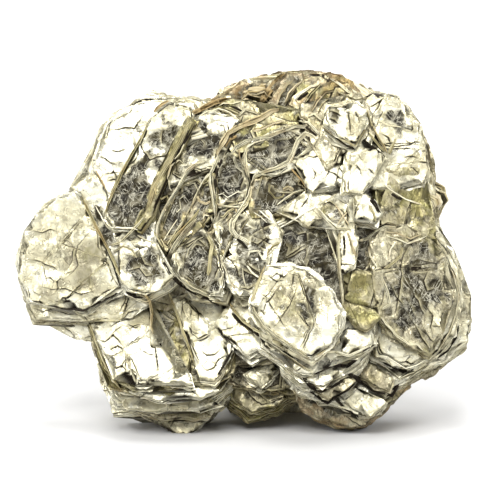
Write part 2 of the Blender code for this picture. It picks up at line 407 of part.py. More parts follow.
def ground_mesh():
    """A block whose top is the rest level."""
    bm = bmesh.new()
    bmesh.ops.create_cube(bm, size=GROUND_BLOCK * MM)
    lift = (REST_LEVEL - GROUND_BLOCK / 2.0) * MM
    bmesh.ops.translate(bm, verts=bm.verts, vec=(0.0, GROUND_BLOCK * MM / 8.0, lift))
    mesh = bpy.data.meshes.new("ground_cut")
    bm.to_mesh(mesh)
    bm.free()
    return mesh


def mica_material():
    """Pearly pale silver-olive mica."""
    material = bpy.data.materials.new("mica")
    material.use_nodes = True
    shader = material.node_tree.nodes["Principled BSDF"]
    shader.inputs["Base Color"].default_value = (0.58, 0.55, 0.43, 1.0)
    shader.inputs["Metallic"].default_value = 0.75
    shader.inputs["Roughness"].default_value = 0.32
    return material


def stand_on_origin(mesh):
    """Moves the mesh so that the middle of its underside's box is the origin."""
    xs, ys, zs = zip(*(vertex.co for vertex in mesh.vertices))
    middle = Vector(((min(xs) + max(xs)) / 2.0, (min(ys) + max(ys)) / 2.0, min(zs)))
    for vertex in mesh.vertices:
        vertex.co -= middle


def main():
    for old in list(bpy.data.objects):
        bpy.data.objects.remove(old)
    meshes = [book_mesh(*book) for book in FRONT_BOOKS[::-1]]
    meshes += [crystal_mesh(*crystal) for crystal in ROUND_CRYSTALS]
    mesh = join_books(meshes)
    fill_pockets(mesh)
    stand_on_origin(mesh)
    mesh.materials.clear()
    mesh.materials.append(mica_material())
    cluster = bpy.data.objects.new("mica_cluster", mesh)
    bpy.context.collection.objects.link(cluster)


main()
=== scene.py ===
"""Looks of the mica cluster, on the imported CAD's frame.

Every book and crystal of the cluster is modelled again where the CAD has it, as the stack of cleavage sheets
that it is: sheets with broken edges, creased faces, lifted flakes and cracks, stained and smoky in places.
Drawing units are millimetres. The front books are drawn on a plane that leans back by LEAN, so x runs to the
right and v up that plane, and depths run away from it. Outlines and paths are written as x, v, x, v and on.
"""

import itertools
import math
from collections import namedtuple

import bmesh
import bpy
import numpy as np
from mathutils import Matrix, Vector
from mathutils.bvhtree import BVHTree
from mathutils.geometry import delaunay_2d_cdt


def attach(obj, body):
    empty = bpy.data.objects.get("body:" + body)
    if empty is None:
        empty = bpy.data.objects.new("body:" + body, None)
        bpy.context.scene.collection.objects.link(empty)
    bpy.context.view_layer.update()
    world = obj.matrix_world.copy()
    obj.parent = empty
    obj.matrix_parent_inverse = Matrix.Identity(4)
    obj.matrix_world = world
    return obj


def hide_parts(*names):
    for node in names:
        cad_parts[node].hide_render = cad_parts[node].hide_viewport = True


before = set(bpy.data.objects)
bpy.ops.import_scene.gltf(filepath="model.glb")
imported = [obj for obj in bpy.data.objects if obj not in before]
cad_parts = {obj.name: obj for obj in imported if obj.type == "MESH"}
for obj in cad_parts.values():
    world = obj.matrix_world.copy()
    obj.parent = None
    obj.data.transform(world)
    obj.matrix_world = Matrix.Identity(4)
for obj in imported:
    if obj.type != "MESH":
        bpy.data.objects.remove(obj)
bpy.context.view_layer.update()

MM = 0.001
LEAN = math.radians(12.0)
RIGHT = np.array((1.0, 0.0, 0.0))
UP = np.array((0.0, math.sin(LEAN), math.cos(LEAN)))
AWAY = np.array((0.0, math.cos(LEAN), -math.sin(LEAN)))
ORIGIN = np.array((0.154, 24.536, -2.1))   # the part's origin in the drawing's own frame

# The form of a stack
LEDGE_SLOPE = 0.25              # how far a ledge's tread sinks across its width
WALL_FLARE = 0.10               # outward lean of the walls between two ledges, per mm of height
LEDGE_WAVER = 0.45              # how much a ledge's width varies around its book, as a share
SIDES = 6                       # mica's cleavage sheets are nearly regular hexagons
SIDE_SPREAD = 0.26              # how unevenly far the sides of a round crystal stand, as a share
SIDE_TWIST = 5.0                # degrees that its sides stray from 60 to each other
TERRACE_SPREAD = 0.75           # how unevenly wide its terraces are, as a share

# How finely it is modelled
SHEET = (0.24, 0.52)            # thinnest and thickest step that a broken edge shows
BURIED_SHEET = (1.6, 2.6)       # the same, deep in a book where other books cover it
BOOK_FINE = 3.8                 # depth of a front book that shows its sheets
DEEP_BOOKS = ("back", "stack", "foot", "lobe_ledge", "ledge_2", "ledge_3", "blade_a", "blade_b", "blade_c",
              "round_flake")    # front books that show them all the way
CRYSTAL_FINE = 11.0             # depth of a crystal on the sides or the back that shows its sheets
CRYSTAL_COARSE = 1.5            # how much coarser those are than the front books
EDGE_STEP = 0.62                # distance between the points of a sheet's edge
FACE_STEP = 0.50                # distance between the points of a face
BACK_STEP = 1.5                 # the same on a stack's back
TREAD_STEP = 0.75               # widest stretch of a ledge with no points in it
GRID_SCATTER = 0.22             # how far the points of a face stray from their grid, in steps

# The broken edge of a sheet
WAVE, WAVE_SIZE = 0.16, 4.0     # long waves: how far out and how long
TOOTH, TOOTH_SIZE = 0.70, 2.4   # angular teeth where the sheets broke
TOOTH_STEPS = 2.0               # levels that a tooth can stand at, either way
NICK, NICK_SIZE = 0.14, 0.9     # small nicks
BITE, BITE_SIZE = 1.2, 3.6      # pieces broken out
BITE_FROM = 0.34                # noise level above which a piece is gone
BITE_SLOPE = 0.06
SHEET_WAVER = 0.07              # how much the edges of two sheets wander towards each other
WALL_FOOT_SHADE = 0.45               # painted shade: how dark the foot of a sheet's edge is made

# The thinner sheets left on a face, or the holes in a window
SHEET_AREA = 55.0               # area of a face for each sheet on it
MOST_SHEETS = 4
LEAST_SHEET = 12.0              # area below which no sheet is left
SHEET_SKEW = 5.0                # degrees that a cut strays from the crystal's own ways
CUT_SHARE = (0.04, 0.34)        # share of a sheet that is gone, on each cut side
SHEET_LIFT = (0.10, 0.30)
SHEET_SHRINK = (0.90, 0.98)     # size of the next sheet, as a share
SHEET_MARGIN, HOLE_MARGIN = 0.985, 0.94
HOLE_CUT, HOLE_SMOKE = 0.6, 0.3
WINDOW_SMOKE = 0.5              # smoke from which a face is a window
FRAY, FRAY_SIZE = 0.22, 1.3     # how far a sheet's edge is frayed, and how long the frays are

# The flakes that lift off a face
FLAKE_AREA = 26.0               # area of a face for each flake
FLAKE_LENGTH = (3.0, 12.0)
FLAKE_LIFT = (0.10, 0.42)
FLAKE_REACH = 2.4               # how far behind its edge a flake still stands up
FLAKE_STEP = 0.42               # distance between the points of a flake's edge
FLAKE_POINTS = 5                # fewest points that make a flake
FLAKE_TURN = 0.09               # chance at each point that the edge turns by 60 degrees
FLAKE_SKEW, FLAKE_BEND = 8.0, 7.0   # degrees that it strays at its start, and from point to point
FLAKE_GAP = 0.06                # half the width of the step at a flake's edge
FLAKE_MARGIN = 0.5              # how far a flake stays from the rim of its face
STEP_MARGIN = 0.2               # the same for the points at a step

# What colours a face
SMOKE_FREE, SMOKE_FADE = 0.2, 2.2   # how far from a book's rim its smoke begins, and until it is full
PATCH_SMOKE = 0.4               # share of a patch's own smoke that shows
RIM_FADE = 0.30                 # how far a pale rim reaches over a face
LIFT_SHADOW_FADE = 0.16               # how far the painted shadow below a lifted edge reaches
SHARP_ANGLE = 38.0              # degrees between two faces above which their edge is sharp

# Bundles of sheets that stand on edge
LAMINA = 0.34                   # thickness of one sheet
GROOVE, GROOVE_HALF = 0.30, 0.025   # depth and half width of the groove between two of them
RIDGE_ROOT = 2.4                # how deep a bundle is rooted
RIDGE_FALL = 0.80               # how much lower its last sheet is than its first, as a share
RIDGE_LEAN = 0.16               # how much higher one side of a sheet is than its middle, at most
RIDGE_STEP = 0.40
RIDGE_SLIM = 0.70               # share of its drawn width that a bundle keeps
RIDGE_LOW = 0.65                # share of its drawn height that it keeps
RAGGED = 0.05                   # how far the edge of one sheet wanders from the next
RIDGE_WANDER, RIDGE_UNEVEN, RIDGE_ROUGH = 0.03, 0.30, 0.10
RIDGE_SEED = 500
END_SINK = 1.0                  # how deep its ends sink
DRAPE_FROM = -40.0              # depth that the rays start from
DRAPE_SMOOTH = 3                # points on either side that its depth is smoothed over

# How each kind of book looks: smoke darkens its face, tint turns silver to olive, brown stains it, and
# crease is the height of the creases in mm
Look = namedtuple("Look", "smoke tint brown crease")
LOOKS = {
    "white": Look(0.00, 0.05, 0.00, 0.20),
    "silver": Look(0.08, 0.18, 0.05, 0.24),
    "champagne": Look(0.05, 0.45, 0.15, 0.26),
    "grey": Look(0.45, 0.12, 0.00, 0.36),
    "window": Look(0.95, 0.20, 0.05, 0.42),
    "smoky": Look(0.62, 0.60, 0.15, 0.36),
    "veiled": Look(0.34, 0.52, 0.05, 0.40),
    "fan": Look(0.78, 0.70, 0.30, 0.40),
    "olive": Look(0.15, 0.85, 0.10, 0.24),
    "gold": Look(0.10, 0.80, 0.55, 0.24),
    "brown": Look(0.50, 0.60, 0.65, 0.36),
}
CREASES = ((6.0, 1.0), (2.6, 0.5), (1.2, 0.22))   # size of the creases in mm and their share of the height
CREASE_BEND, BEND_SIZE = 0.8, 3.0                 # how far they stray from straight lines, over what length
CREASE_SHARP = 2.6                                # how steeply a crease falls off on either side

# The same for a standing sheet, with tone for how pale it is
Standing = namedtuple("Standing", "tint brown tone")
RIDGE_LOOKS = {
    "cream": Standing(0.30, 0.00, 0.80),
    "olive": Standing(0.85, 0.10, 0.45),
    "tan": Standing(0.35, 0.50, 0.70),
    "gold": Standing(0.60, 0.95, 0.45),
    "white": Standing(0.00, 0.00, 1.00),
    # dark is no sheet's colour but a band of painted shadow, laid in gaps between books and under ledges
    "dark": Standing(0.60, 0.30, 0.00),
}

# The pieces of the model, and how the names of the books and crystals in each begin
PIECES = (
    ("left_lobe_books", ("left_lobe", "left_strip", "grey_plate", "under_window")),
    ("upper_left_books", ("upper_left", "ridge")),
    ("fan_books", ("fan", "shell")),
    ("centre_books", ("oval", "window_stack", "left_flap", "ledge", "centre", "crossing", "heart")),
    ("right_books", ("right_book", "right_foot", "olive", "dark", "diamond", "low_bright", "bottom",
                     "tread")),
    ("upper_right_books", ("crumpled", "v_plate", "right_shoulder", "small")),
    ("top_books", ("top_blade", "top_back")),
    ("low_books", ("low_book", "recess", "white", "round")),
    ("back_crystals", ("back_main", "back_high", "back_shoulder", "back_cheek")),
    ("back_low_crystals", ("back_low", "back_foot", "back_blade", "back_tilted")),
    ("side_crystals", ("left_side", "left_high", "left_low", "right_side", "right_low", "top_left",
                       "top_right", "top_middle")),
)

# Camera, floor and lamps
SENSOR = 36.0
CAMERA_AWAY = 1215.0            # distance from the camera to the plane that the frame's width is measured on
FRAME_WIDTH = 110.0
FRAME_MIDDLE = (1.1, 37.11)
FRAME_DEPTH = -12.0
CLIP = (0.05, 20.0)
FLOOR_RADIUS = 4.0
WORLD_STRENGTH = 0.30
# Lamps: (name, degrees to the right of the front, degrees up, distance, width, height, watts)
SOFTBOXES = (
    ("key", -10.0, 48.0, 1.2, 0.60, 0.50, 10.5),
    ("top", 0.0, 82.0, 1.2, 0.50, 0.50, 7.0),
    ("left", -60.0, 22.0, 1.2, 0.30, 0.50, 6.0),
    ("right", 62.0, 28.0, 1.2, 0.30, 0.50, 5.0),
    ("back_left", -142.0, 40.0, 1.2, 0.45, 0.45, 8.0),
    ("back_right", 140.0, 42.0, 1.2, 0.45, 0.45, 8.0),
)
LAMP_AIM = (0.0, 0.0, 0.035)


# ---------------------------------------------------------------- what is drawn

# Front books: (name, look, depth of the outer sheet at its middle, turn to the right, tip upward, thickness,
# ledges as (share of the thickness, width), outline clockwise from its top left). Turn and tip are slopes:
# millimetres of depth for each millimetre to the right or up.
FRONT_BOOKS = (
    # left lobe
    ("left_lobe", "white", 3.2, -0.2, 0.04, 3.2, ((0.45, 0.5),),
     (-37, 52.8, -34.8, 50.2, -30.3, 41, -27, 33.6, -26, 31.8, -28.4, 30.6, -32, 28.8, -35.4, 27,
      -38.2, 27.6, -43, 28.4, -47.2, 29.8, -49.2, 34, -49.6, 38.6, -48.4, 43, -45.8, 47.4, -43, 50)),
    ("left_lobe_ledge", "silver", 6.2, -0.12, 0.1, 6, ((0.5, 0.6),),
     (-40, 48, -24, 36, -20.6, 28.2, -22.4, 27.2, -25, 25.6, -27.4, 24.2, -30, 25, -34.6, 24.8, -45.4, 25,
      -47, 27.6, -48.2, 32, -47.4, 40)),
    ("left_lobe_back", "silver", 11, -0.35, -0.15, 12, ((0.35, 0.8), (0.7, 0.7)),
     (-40, 50, -30, 48, -24, 36, -26, 26, -33.2, 21.4, -36.8, 20.8, -41, 22.4, -45.4, 25.4, -47.6, 31,
      -48.2, 38, -46, 45)),
    # upper left terraces
    ("upper_left_back", "silver", 10.5, -0.15, 0.12, 10, ((0.3, 0.7), (0.65, 0.6)),
     (-17.6, 73.6, -9, 73, -4, 66, -10, 50, -24, 46, -34, 50, -38.4, 53.8, -35.4, 56.4, -33.6, 60.4,
      -31.8, 65.6, -28.8, 68.8, -26, 71.8, -22.6, 73.2)),
    ("upper_left_bright", "white", 5, -0.05, 0.22, 7, ((0.5, 0.6),),
     (-16, 73, -14, 66, -22, 50, -28, 46, -30.8, 54, -33, 57.6, -32.2, 62, -29.8, 67.4, -27.2, 70.2,
      -23.8, 72.2, -20, 73)),
    ("upper_left_window", "grey", 1.2, -0.02, 0.22, 6, ((0.4, 0.5),),
     (-16.4, 72.4, -12, 72, -10.6, 68, -15, 60, -19.6, 52, -22.6, 46.6, -24.6, 44.6, -28.2, 45, -30.2, 47.4,
      -29.8, 50.8, -27.4, 56.2, -24.8, 60.6, -22, 65.2, -19.8, 69.8)),
    ("left_strip", "grey", 1.8, -0.3, 0.1, 6.5, ((0.6, 0.5),),
     (-35.6, 52.8, -32.8, 57.2, -30.8, 54.4, -29.4, 50, -27.6, 43.6, -24, 36, -24.8, 32.4, -26.4, 32.4,
      -30.4, 41, -33.6, 48.4)),
    ("ridge_plate", "olive", -0.4, -0.25, 0.2, 5, (),
     (-12.4, 69.2, -10.6, 68.6, -13.4, 63, -17, 57.6, -18.6, 52.8, -19.8, 48, -22.6, 44, -24.4, 44.8,
      -20.8, 50.2, -19.8, 55.2, -17, 60.6, -14.6, 65.4)),
    ("grey_plate", "grey", -1.2, -0.05, 0.18, 7, ((0.5, 0.5),),
     (-27.8, 41.2, -23, 42.8, -18.8, 41.8, -17.6, 37.4, -14.8, 34.8, -17.2, 32.4, -21.6, 31, -25.4, 31.6,
      -26.8, 34.6)),
    ("under_window_plate", "grey", 0.2, 0.1, 0.35, 6, (),
     (-28.4, 43.2, -24.2, 44.8, -19.6, 47.2, -18.4, 43, -20, 39, -24, 38.6, -27.6, 40.4)),
    # fan of narrow plates in the middle
    ("fan_grey", "grey", 2.6, -0.1, 0.3, 8, ((0.5, 0.5),),
     (-9.6, 69.6, -6.4, 70.6, -3, 69.6, -0.8, 68, -3.4, 62.6, -5.6, 58.4, -12, 56, -16.8, 54, -15.6, 58.8,
      -13, 64.6, -11.6, 67.8)),
    ("fan_blade_a", "fan", 1.6, -0.22, 0.12, 7, (),
     (-15.4, 58.8, -12.6, 59.6, -13.6, 54, -17, 48.4, -18, 44.2, -20.2, 44, -20, 50, -18.8, 54.6)),
    ("fan_blade_b", "fan", 0.6, -0.18, 0.14, 7, ((0.5, 0.4),),
     (-11.6, 58.2, -6, 59.8, -7.4, 54.6, -10.4, 50.4, -13.6, 45, -16.8, 40, -18.6, 41.8, -18.8, 45.6,
      -16.6, 49.8, -13.8, 54.6)),
    ("fan_blade_c", "fan", -0.4, -0.15, 0.12, 7, (),
     (-8.8, 54.8, -6.4, 56.8, -5.8, 52, -6.4, 48.4, -9.6, 44.8, -14.4, 40.6, -16.8, 40.2, -14.6, 44,
      -11.8, 49.2)),
    ("fan_blade_d", "window", -0.2, 0.12, 0.12, 7, (),
     (-3.6, 50, 0.2, 50.6, 2, 47.6, -1.6, 43.6, -4.4, 38.6, -6.2, 41.4, -6.6, 46.6)),
    ("fan_dark_oval", "window", 1.4, 0.05, 0.16, 7, ((0.5, 0.4),),
     (-5.8, 59.4, -3.6, 61.6, -0.6, 61, 0.8, 57.6, 1, 53.8, 0, 50.2, -2, 49.2, -5.8, 49.6, -7.2, 53,
      -7, 56.4)),
    ("fan_gold_band", "olive", 4.6, 0, 0.35, 8, ((0.5, 0.6),),
     (-6, 71.6, -3.8, 72.8, 2.6, 72.6, 3.6, 70.4, 12, 70.8, 13.6, 67, 8, 63, -3, 60.8, -4.8, 64.2,
      -2.4, 67.2, -5, 70)),
    ("fan_window", "window", 1.8, 0.06, 0.22, 6, ((0.5, 0.5),),
     (0.8, 63.4, 5, 65.2, 9, 67.4, 12.4, 67.6, 15.2, 65, 15, 60.2, 10.2, 57.6, 4.6, 56.6, 1, 57.2, -0.4, 60)),
    ("fan_brown_plate", "fan", 0.6, 0.02, 0.2, 6, ((0.5, 0.5),),
     (1.8, 56, 5.4, 57.8, 9.8, 59.6, 12.4, 57.4, 14.6, 53, 14, 50.2, 7, 47, 2.2, 47.4, 0.4, 50.2, 1, 53)),
    ("shell_lobe", "window", -1.6, -0.1, 0.16, 7, ((0.3, 0.5), (0.65, 0.5)),
     (-12.8, 43.4, -9.6, 45.4, -6.8, 43, -4.8, 38.8, -4.6, 33, -5, 30.4, -8, 30.6, -11.2, 32.2, -13.8, 34.6,
      -15.8, 38.2, -15.4, 40.4)),
    ("shell_blade", "fan", -0.8, -0.2, 0.12, 7, (),
     (-4.8, 48, -1.8, 49.6, -2.4, 45, -3.4, 40.4, -5.2, 36.6, -7.4, 38.8, -8.2, 43.2, -6.8, 46.8)),
    # centre-right stack, outer sheet first
    ("oval_plate", "white", -6.6, -0.04, 0.18, 3.4, ((0.4, 0.5),),
     (5, 36.9, 10.4, 37, 15.4, 34.4, 19.2, 30.7, 20.8, 27, 20.6, 22.8, 18.4, 19.8, 14.6, 17, 11.8, 18,
      6.4, 22, 3.2, 25, 1.2, 28.7, 2.6, 31.8)),
    ("window_stack", "window", -2.6, 0, 0.22, 8, ((0.3, 0.5), (0.65, 0.6)),
     (6.6, 46.4, 9.4, 48.2, 14.8, 49.9, 17.8, 47.2, 20.8, 43.6, 21.4, 36, 21.2, 28, 20.6, 20.6, 17.4, 17.6,
      14.8, 15.4, 9.4, 18, 3.8, 22, 2.2, 26, 3.4, 33, 4.8, 38.6)),
    ("left_flap", "grey", -1.4, -0.12, 0.2, 8, ((0.5, 0.5),),
     (-2.8, 46.6, 0.8, 49.4, 5.2, 48.6, 8, 44, 6, 34, 2.2, 30.4, -0.6, 30, -2.8, 31.8, -4.6, 34.2,
      -4.7, 38.2, -3, 42.8)),
    ("left_flap_low", "silver", 1, -0.15, 0.25, 8, ((0.5, 0.5),),
     (-2, 32, 4, 32, 6, 24, 4.6, 20.4, 2.6, 22.4, -0.6, 25.2, -3.2, 28.6)),
    ("ledge_1", "white", -3, 0, 0.24, 4, ((0.5, 0.5),),
     (4, 26, 20, 34, 28.2, 30, 28.3, 20, 24, 16.8, 20.4, 16.9, 17.2, 15.6, 14.9, 13.3, 12.8, 13.2, 9, 15.6,
      3.8, 19.4)),
    ("ledge_2", "white", -0.4, 0, 0.25, 4, ((0.5, 0.5),),
     (4, 26, 20, 30, 30, 28, 27.6, 18.6, 24.6, 15.4, 20.6, 13.2, 16.6, 10.8, 13.2, 11.8, 9, 14.2)),
    ("ledge_3", "white", 2.6, 0.02, 0.22, 4.4, ((0.5, 0.5),),
     (4, 24, 20, 28, 30, 22, 25.4, 14, 22.6, 11.8, 18.4, 9, 15.8, 8.6, 12.4, 10.2, 9.2, 13.6)),
    ("bottom_plate", "white", 5.6, 0.06, 0.34, 3.2, (),
     (14, 12, 22, 14, 31, 10, 31.2, 7.2, 30, 5.2, 25.4, 4, 21.6, 6.4, 17, 7.2)),
    ("bottom_foot", "brown", 8.6, 0.02, 0.16, 9, ((0.3, -0.5), (0.6, -0.6)),
     (9, 14, 26, 18, 38, 13, 35.8, 10.2, 32.8, 7.4, 29.8, 4.2, 26.8, 2.2, 23.8, 1.3, 20.2, 1.8, 15.6, 3.6,
      12.8, 5.8, 11.2, 9)),
    # small plates between the centre stack and the right book
    ("olive_pane", "olive", -1.6, 0.1, 0.1, 6, (),
     (21.2, 35.8, 25.6, 36.2, 30.6, 34.6, 31.2, 31, 29, 27.6, 25, 27.6, 21.2, 29.6)),
    ("dark_pane", "smoky", 0.4, 0.08, 0.16, 6, (),
     (22.6, 47.4, 26.8, 47.4, 30, 44.6, 29.4, 39, 26, 35.4, 22.8, 36.6)),
    ("diamond_flake", "olive", -4.4, 0.05, 0.22, 3.6, (),
     (21.4, 29.2, 24, 28, 27.8, 27, 29.2, 25.3, 26.2, 22.9, 24.6, 23.2, 22.8, 25.2, 20.8, 26.8)),
    ("low_bright_flake", "white", -3.6, 0, 0.25, 3.6, (),
     (22.4, 23, 27.8, 22.4, 28.4, 20.2, 24.4, 17.4, 21.6, 17.8, 20.8, 20.2)),
    ("crossing_rim", "silver", -1.2, 0.1, 0.25, 6, (),
     (15.6, 49.9, 20, 51.6, 23.6, 48.2, 24.8, 42.6, 24, 36.4, 20.9, 34.6, 20.2, 44.6)),
    # right book
    ("right_book", "veiled", 0.6, 0.26, 0.06, 4.6, ((0.4, 0.5),),
     (30.2, 45.2, 35.8, 45.2, 40.2, 43.4, 43.6, 39, 45.2, 34.4, 45.6, 30, 44.4, 24.8, 42, 19.6, 40.6, 17.2,
      36.2, 19.2, 32.6, 21.4, 29.2, 25.6, 28.4, 33, 27.6, 42.4)),
    ("right_book_ledge_1", "silver", 4, 0.22, 0.08, 4.6, ((0.5, 0.5),),
     (31, 46, 41.6, 45.6, 45.4, 39.2, 47.4, 33.6, 47.6, 28, 46, 21.8, 42.6, 17.2, 39.8, 16.4, 36.2, 14.4,
      33.2, 15.2, 29, 16.8, 27, 22, 28, 36)),
    ("right_book_ledge_2", "silver", 7.6, 0.2, 0.06, 5, ((0.5, 0.6),),
     (31, 48, 42.8, 45.4, 46.8, 37.4, 49.2, 30, 49.8, 24.6, 48.6, 19.4, 44.2, 15.6, 38, 13.3, 34.2, 11.7,
      30.4, 13.4, 26.4, 15.8, 26, 30)),
    ("right_book_back", "champagne", 11.6, 0.14, -0.05, 13, ((0.3, 0.6), (0.65, -0.2)),
     (28, 45, 38.4, 46.4, 43, 41.4, 46.2, 36, 48.6, 29, 49.2, 23.2, 47.6, 18, 42.4, 14.2, 36, 11, 31.2, 9.4,
      25.4, 12.4, 24, 30)),
    ("right_foot_ledge", "silver", 5, 0.1, 0.26, 4.2, ((0.5, 0.4),),
     (23.4, 18, 34, 20, 40, 15, 34.2, 10.9, 31, 9, 28.6, 10.4, 24.2, 13.4)),
    # top right crumpled plates
    ("crumpled_white", "white", 1, 0.04, 0.3, 7, ((0.5, 0.5),),
     (15.6, 64, 17.2, 65, 20.2, 65, 24.2, 62, 25.4, 57.6, 22.2, 53.2, 17, 55, 14.8, 52.2, 12.8, 55.8,
      10.4, 59.8, 13.4, 60.8)),
    ("crumpled_tongue", "white", 0.4, 0.12, 0.28, 6, (),
     (24, 64.4, 27.4, 62.8, 31.2, 60.2, 30, 58.4, 28.2, 55.8, 25.6, 52, 21.6, 53, 21.8, 59.8)),
    ("crumpled_low", "silver", -0.4, 0.02, 0.24, 6.5, ((0.5, 0.5),),
     (7, 48.6, 9.6, 51.6, 14.4, 52.8, 21, 54.6, 24, 53, 22.6, 47.2, 20.6, 44.4, 13, 46)),
    ("v_plate", "white", 0.4, 0.06, 0.42, 5, ((0.5, 0.5),),
     (18.4, 71.6, 21.4, 71.4, 24.6, 72.6, 26.4, 70.6, 26.2, 66.8, 24.3, 63, 20, 65.2, 17.4, 67.2)),
    ("v_plate_backing", "champagne", 3.4, 0.04, 0.34, 8, ((0.5, 0.6),),
     (12, 71.6, 18, 73.2, 25, 74.4, 28.4, 70, 27.6, 62, 18, 58, 13.6, 64.2)),
    ("right_shoulder", "silver", 5.4, 0.2, 0.34, 9, ((0.3, 0.6), (0.65, 0.5)),
     (26, 73, 29.2, 74.8, 33.2, 74.4, 36, 72, 37.8, 68, 39.4, 63.2, 40.6, 59.6, 39.4, 54.6, 34, 53, 28, 54,
      25.8, 60, 27.6, 67)),
    ("right_shoulder_low", "olive", 2.8, 0.22, 0.2, 8, ((0.5, 0.6),),
     (31, 58, 35.2, 58.6, 39.6, 58, 40.2, 52, 41.6, 46, 42.2, 42, 38, 41.6, 33.6, 42.8, 29.6, 44.8, 28, 50,
      28.6, 55)),
    ("small_bright_flake", "white", -1.4, 0.04, 0.26, 5, (),
     (24, 52.6, 26.4, 52.6, 30.2, 48.4, 28.8, 45.4, 26.4, 47, 23.4, 46.8, 22.4, 49.6)),
    ("right_shoulder_back", "champagne", 12, 0.16, 0.18, 12, ((0.3, 0.7), (0.65, 0.5)),
     (24, 73, 30, 74.6, 36.2, 71.6, 39.4, 66, 41.2, 60, 42.2, 52, 43.4, 42, 40, 36, 26, 36, 22, 56)),
    # top, behind
    ("top_blade_a", "brown", 10, -0.3, 0.3, 9, (),
     (7.6, 75.8, 9.4, 79.4, 12.6, 78.8, 13.4, 72, 9, 66, 3, 68, 3.4, 71.8, 5.2, 75.4)),
    ("top_blade_b", "gold", 8.6, -0.2, 0.35, 9, ((0.5, 0.5),),
     (11.6, 77.4, 14.8, 79, 18.4, 78.4, 18.6, 72, 14, 66, 8, 68, 8.6, 73.4)),
    ("top_blade_c", "gold", 7.4, 0.1, 0.4, 9, ((0.5, 0.5),),
     (16.6, 76.8, 20.4, 78, 23.6, 77.2, 25.6, 74.6, 24, 68, 15, 66, 14.4, 71.6)),
    ("top_back", "brown", 15, 0.04, 0.16, 13, ((0.3, 0.7), (0.65, 0.5)),
     (-4.6, 74, -2, 76.6, 1, 77.8, 4.6, 77, 8.2, 79.2, 12.4, 79.8, 19.2, 79.2, 23.4, 77.4, 26, 73, 24, 56,
      -2, 56, -9, 66, -8.4, 72.6)),
    # bottom left book, tipped up
    ("low_book", "olive", 4, -0.06, 0.52, 3, ((0.5, 0.4),),
     (-34.3, 24.6, -30, 27, -22, 32, -15, 34, -8, 32, -2.4, 26, -2.2, 18.6, -3.8, 13.6, -6.4, 11.2,
      -10, 11.2, -13, 10.2, -23.6, 10.2, -28.6, 11.8, -31, 16.4)),
    ("low_book_left_sheet", "white", 1.5, -0.06, 0.52, 2.4, (),
     (-33.4, 24.2, -28, 26.6, -21, 30.6, -20.4, 25, -19.6, 21.2, -17.4, 18.4, -15.4, 14.8, -15.3, 12.2,
      -12, 13.6, -11.2, 10.9, -23.2, 10.9, -25.8, 12.4, -28.2, 12.4, -30.4, 16.4)),
    ("low_book_right_sheet", "white", 2.7, -0.06, 0.52, 2.4, (),
     (-16.6, 31.4, -14, 33.6, -8, 31, -3, 26.6, -2.6, 19, -4.4, 14.2, -6.6, 11.9, -9.6, 12.2, -12.2, 19)),
    ("low_book_stack", "white", 7.6, -0.06, 0.46, 8, ((0.3, 0.6), (0.65, 0.6)),
     (-33, 22, -22, 32, -6, 32, -1.2, 22, -1.8, 15, -5.2, 10.4, -9.8, 8, -15, 7.6, -20, 8.2, -26.8, 8.2,
      -30, 12)),
    ("low_book_foot", "silver", 11, 0, 0.14, 9, ((0.3, -0.5), (0.6, -0.6)),
     (-30, 20, -14, 28, -2, 18, -2.2, 8.8, -4.6, 6, -7.2, 4, -9.6, 1.8, -11, 0.3, -15.8, 0.3, -17.4, 2.2,
      -19.4, 3.8, -26.8, 4.9, -29.6, 12.4)),
    # flakes at the bottom centre
    ("centre_flake", "white", 1.2, -0.1, 0.34, 5, ((0.5, 0.4),),
     (-4.4, 27.2, -3.2, 28.6, -0.4, 25.4, 3, 22.4, 4.2, 18.7, 3, 18.2, 1, 17.3, -1.6, 19.2, -6.4, 23.4)),
    ("recess_plate", "smoky", 7.4, 0.02, 0.3, 8, ((0.5, 0.5),),
     (-4, 22, 6, 24, 12, 18, 12.4, 9.4, 6, 9.8, 2, 10.2, -3.6, 11.2, -4.8, 16)),
    ("white_flake", "white", 5.4, 0.06, 0.4, 3.4, (),
     (0, 13.2, 3, 14.6, 6, 15.8, 8.4, 14.4, 5.6, 11.4, 3.8, 10.2, 1.6, 11.2)),
    ("round_flake", "olive", 9, 0.04, 0.3, 6, ((0.5, 0.4),),
     (-2.6, 11.8, 2, 13, 10, 13, 9.8, 8, 6.4, 5.8, 1.6, 4.9, -0.6, 5.9, -2, 7.4)),
    # the middle that the others grow from
    ("heart", "champagne", 9, 0, 0.12, 22, ((0.25, 1.2),),
     (-12, 62, 2, 68, 16, 67, 28, 58, 33, 44, 31, 28, 20, 19, 4, 15, -14, 17, -26, 28, -29, 42, -22, 54)),
    # broken treads on the ledges below
    ("tread_centre", "white", -3, 0, 0.26, 1.3, (),
     (12.8, 12, 17, 10.2, 21.8, 13.2, 18.2, 15.2, 14.6, 13.8)),
    ("tread_middle", "champagne", 0.9, 0, 0.26, 1.3, (),
     (14.8, 9.8, 18.4, 7.6, 24.4, 11.6, 22.4, 13, 18.8, 11.4)),
    ("tread_low", "white", 4.3, 0.06, 0.34, 1.3, (),
     (19.6, 9.4, 22.8, 11, 30.6, 7, 29.8, 5.4, 26.4, 3.8, 24.4, 4.8)),
    ("tread_right", "champagne", 3, 0.06, 0.26, 1.3, (),
     (22.8, 14.2, 26.6, 16.2, 32.6, 12.2, 31.8, 9.2, 28.4, 10.4)),
    ("tread_left_high", "white", 0.2, -0.06, 0.5, 1.1, (),
     (-27.8, 9.6, -23, 10.8, -16, 11, -9, 10.8, -6.2, 9.6, -9.8, 7.8, -13.6, 8.6, -17.4, 7.2, -22.4, 8.2)),
    ("tread_left_middle", "silver", 4.8, -0.06, 0.5, 1.1, (),
     (-27, 7.6, -21, 8, -14, 7.6, -7.6, 7.8, -5, 6.4, -9.8, 5, -14.4, 6, -19, 4.8, -25.4, 5.6)),
    ("tread_left_low", "champagne", 7.2, -0.04, 0.45, 1.1, (),
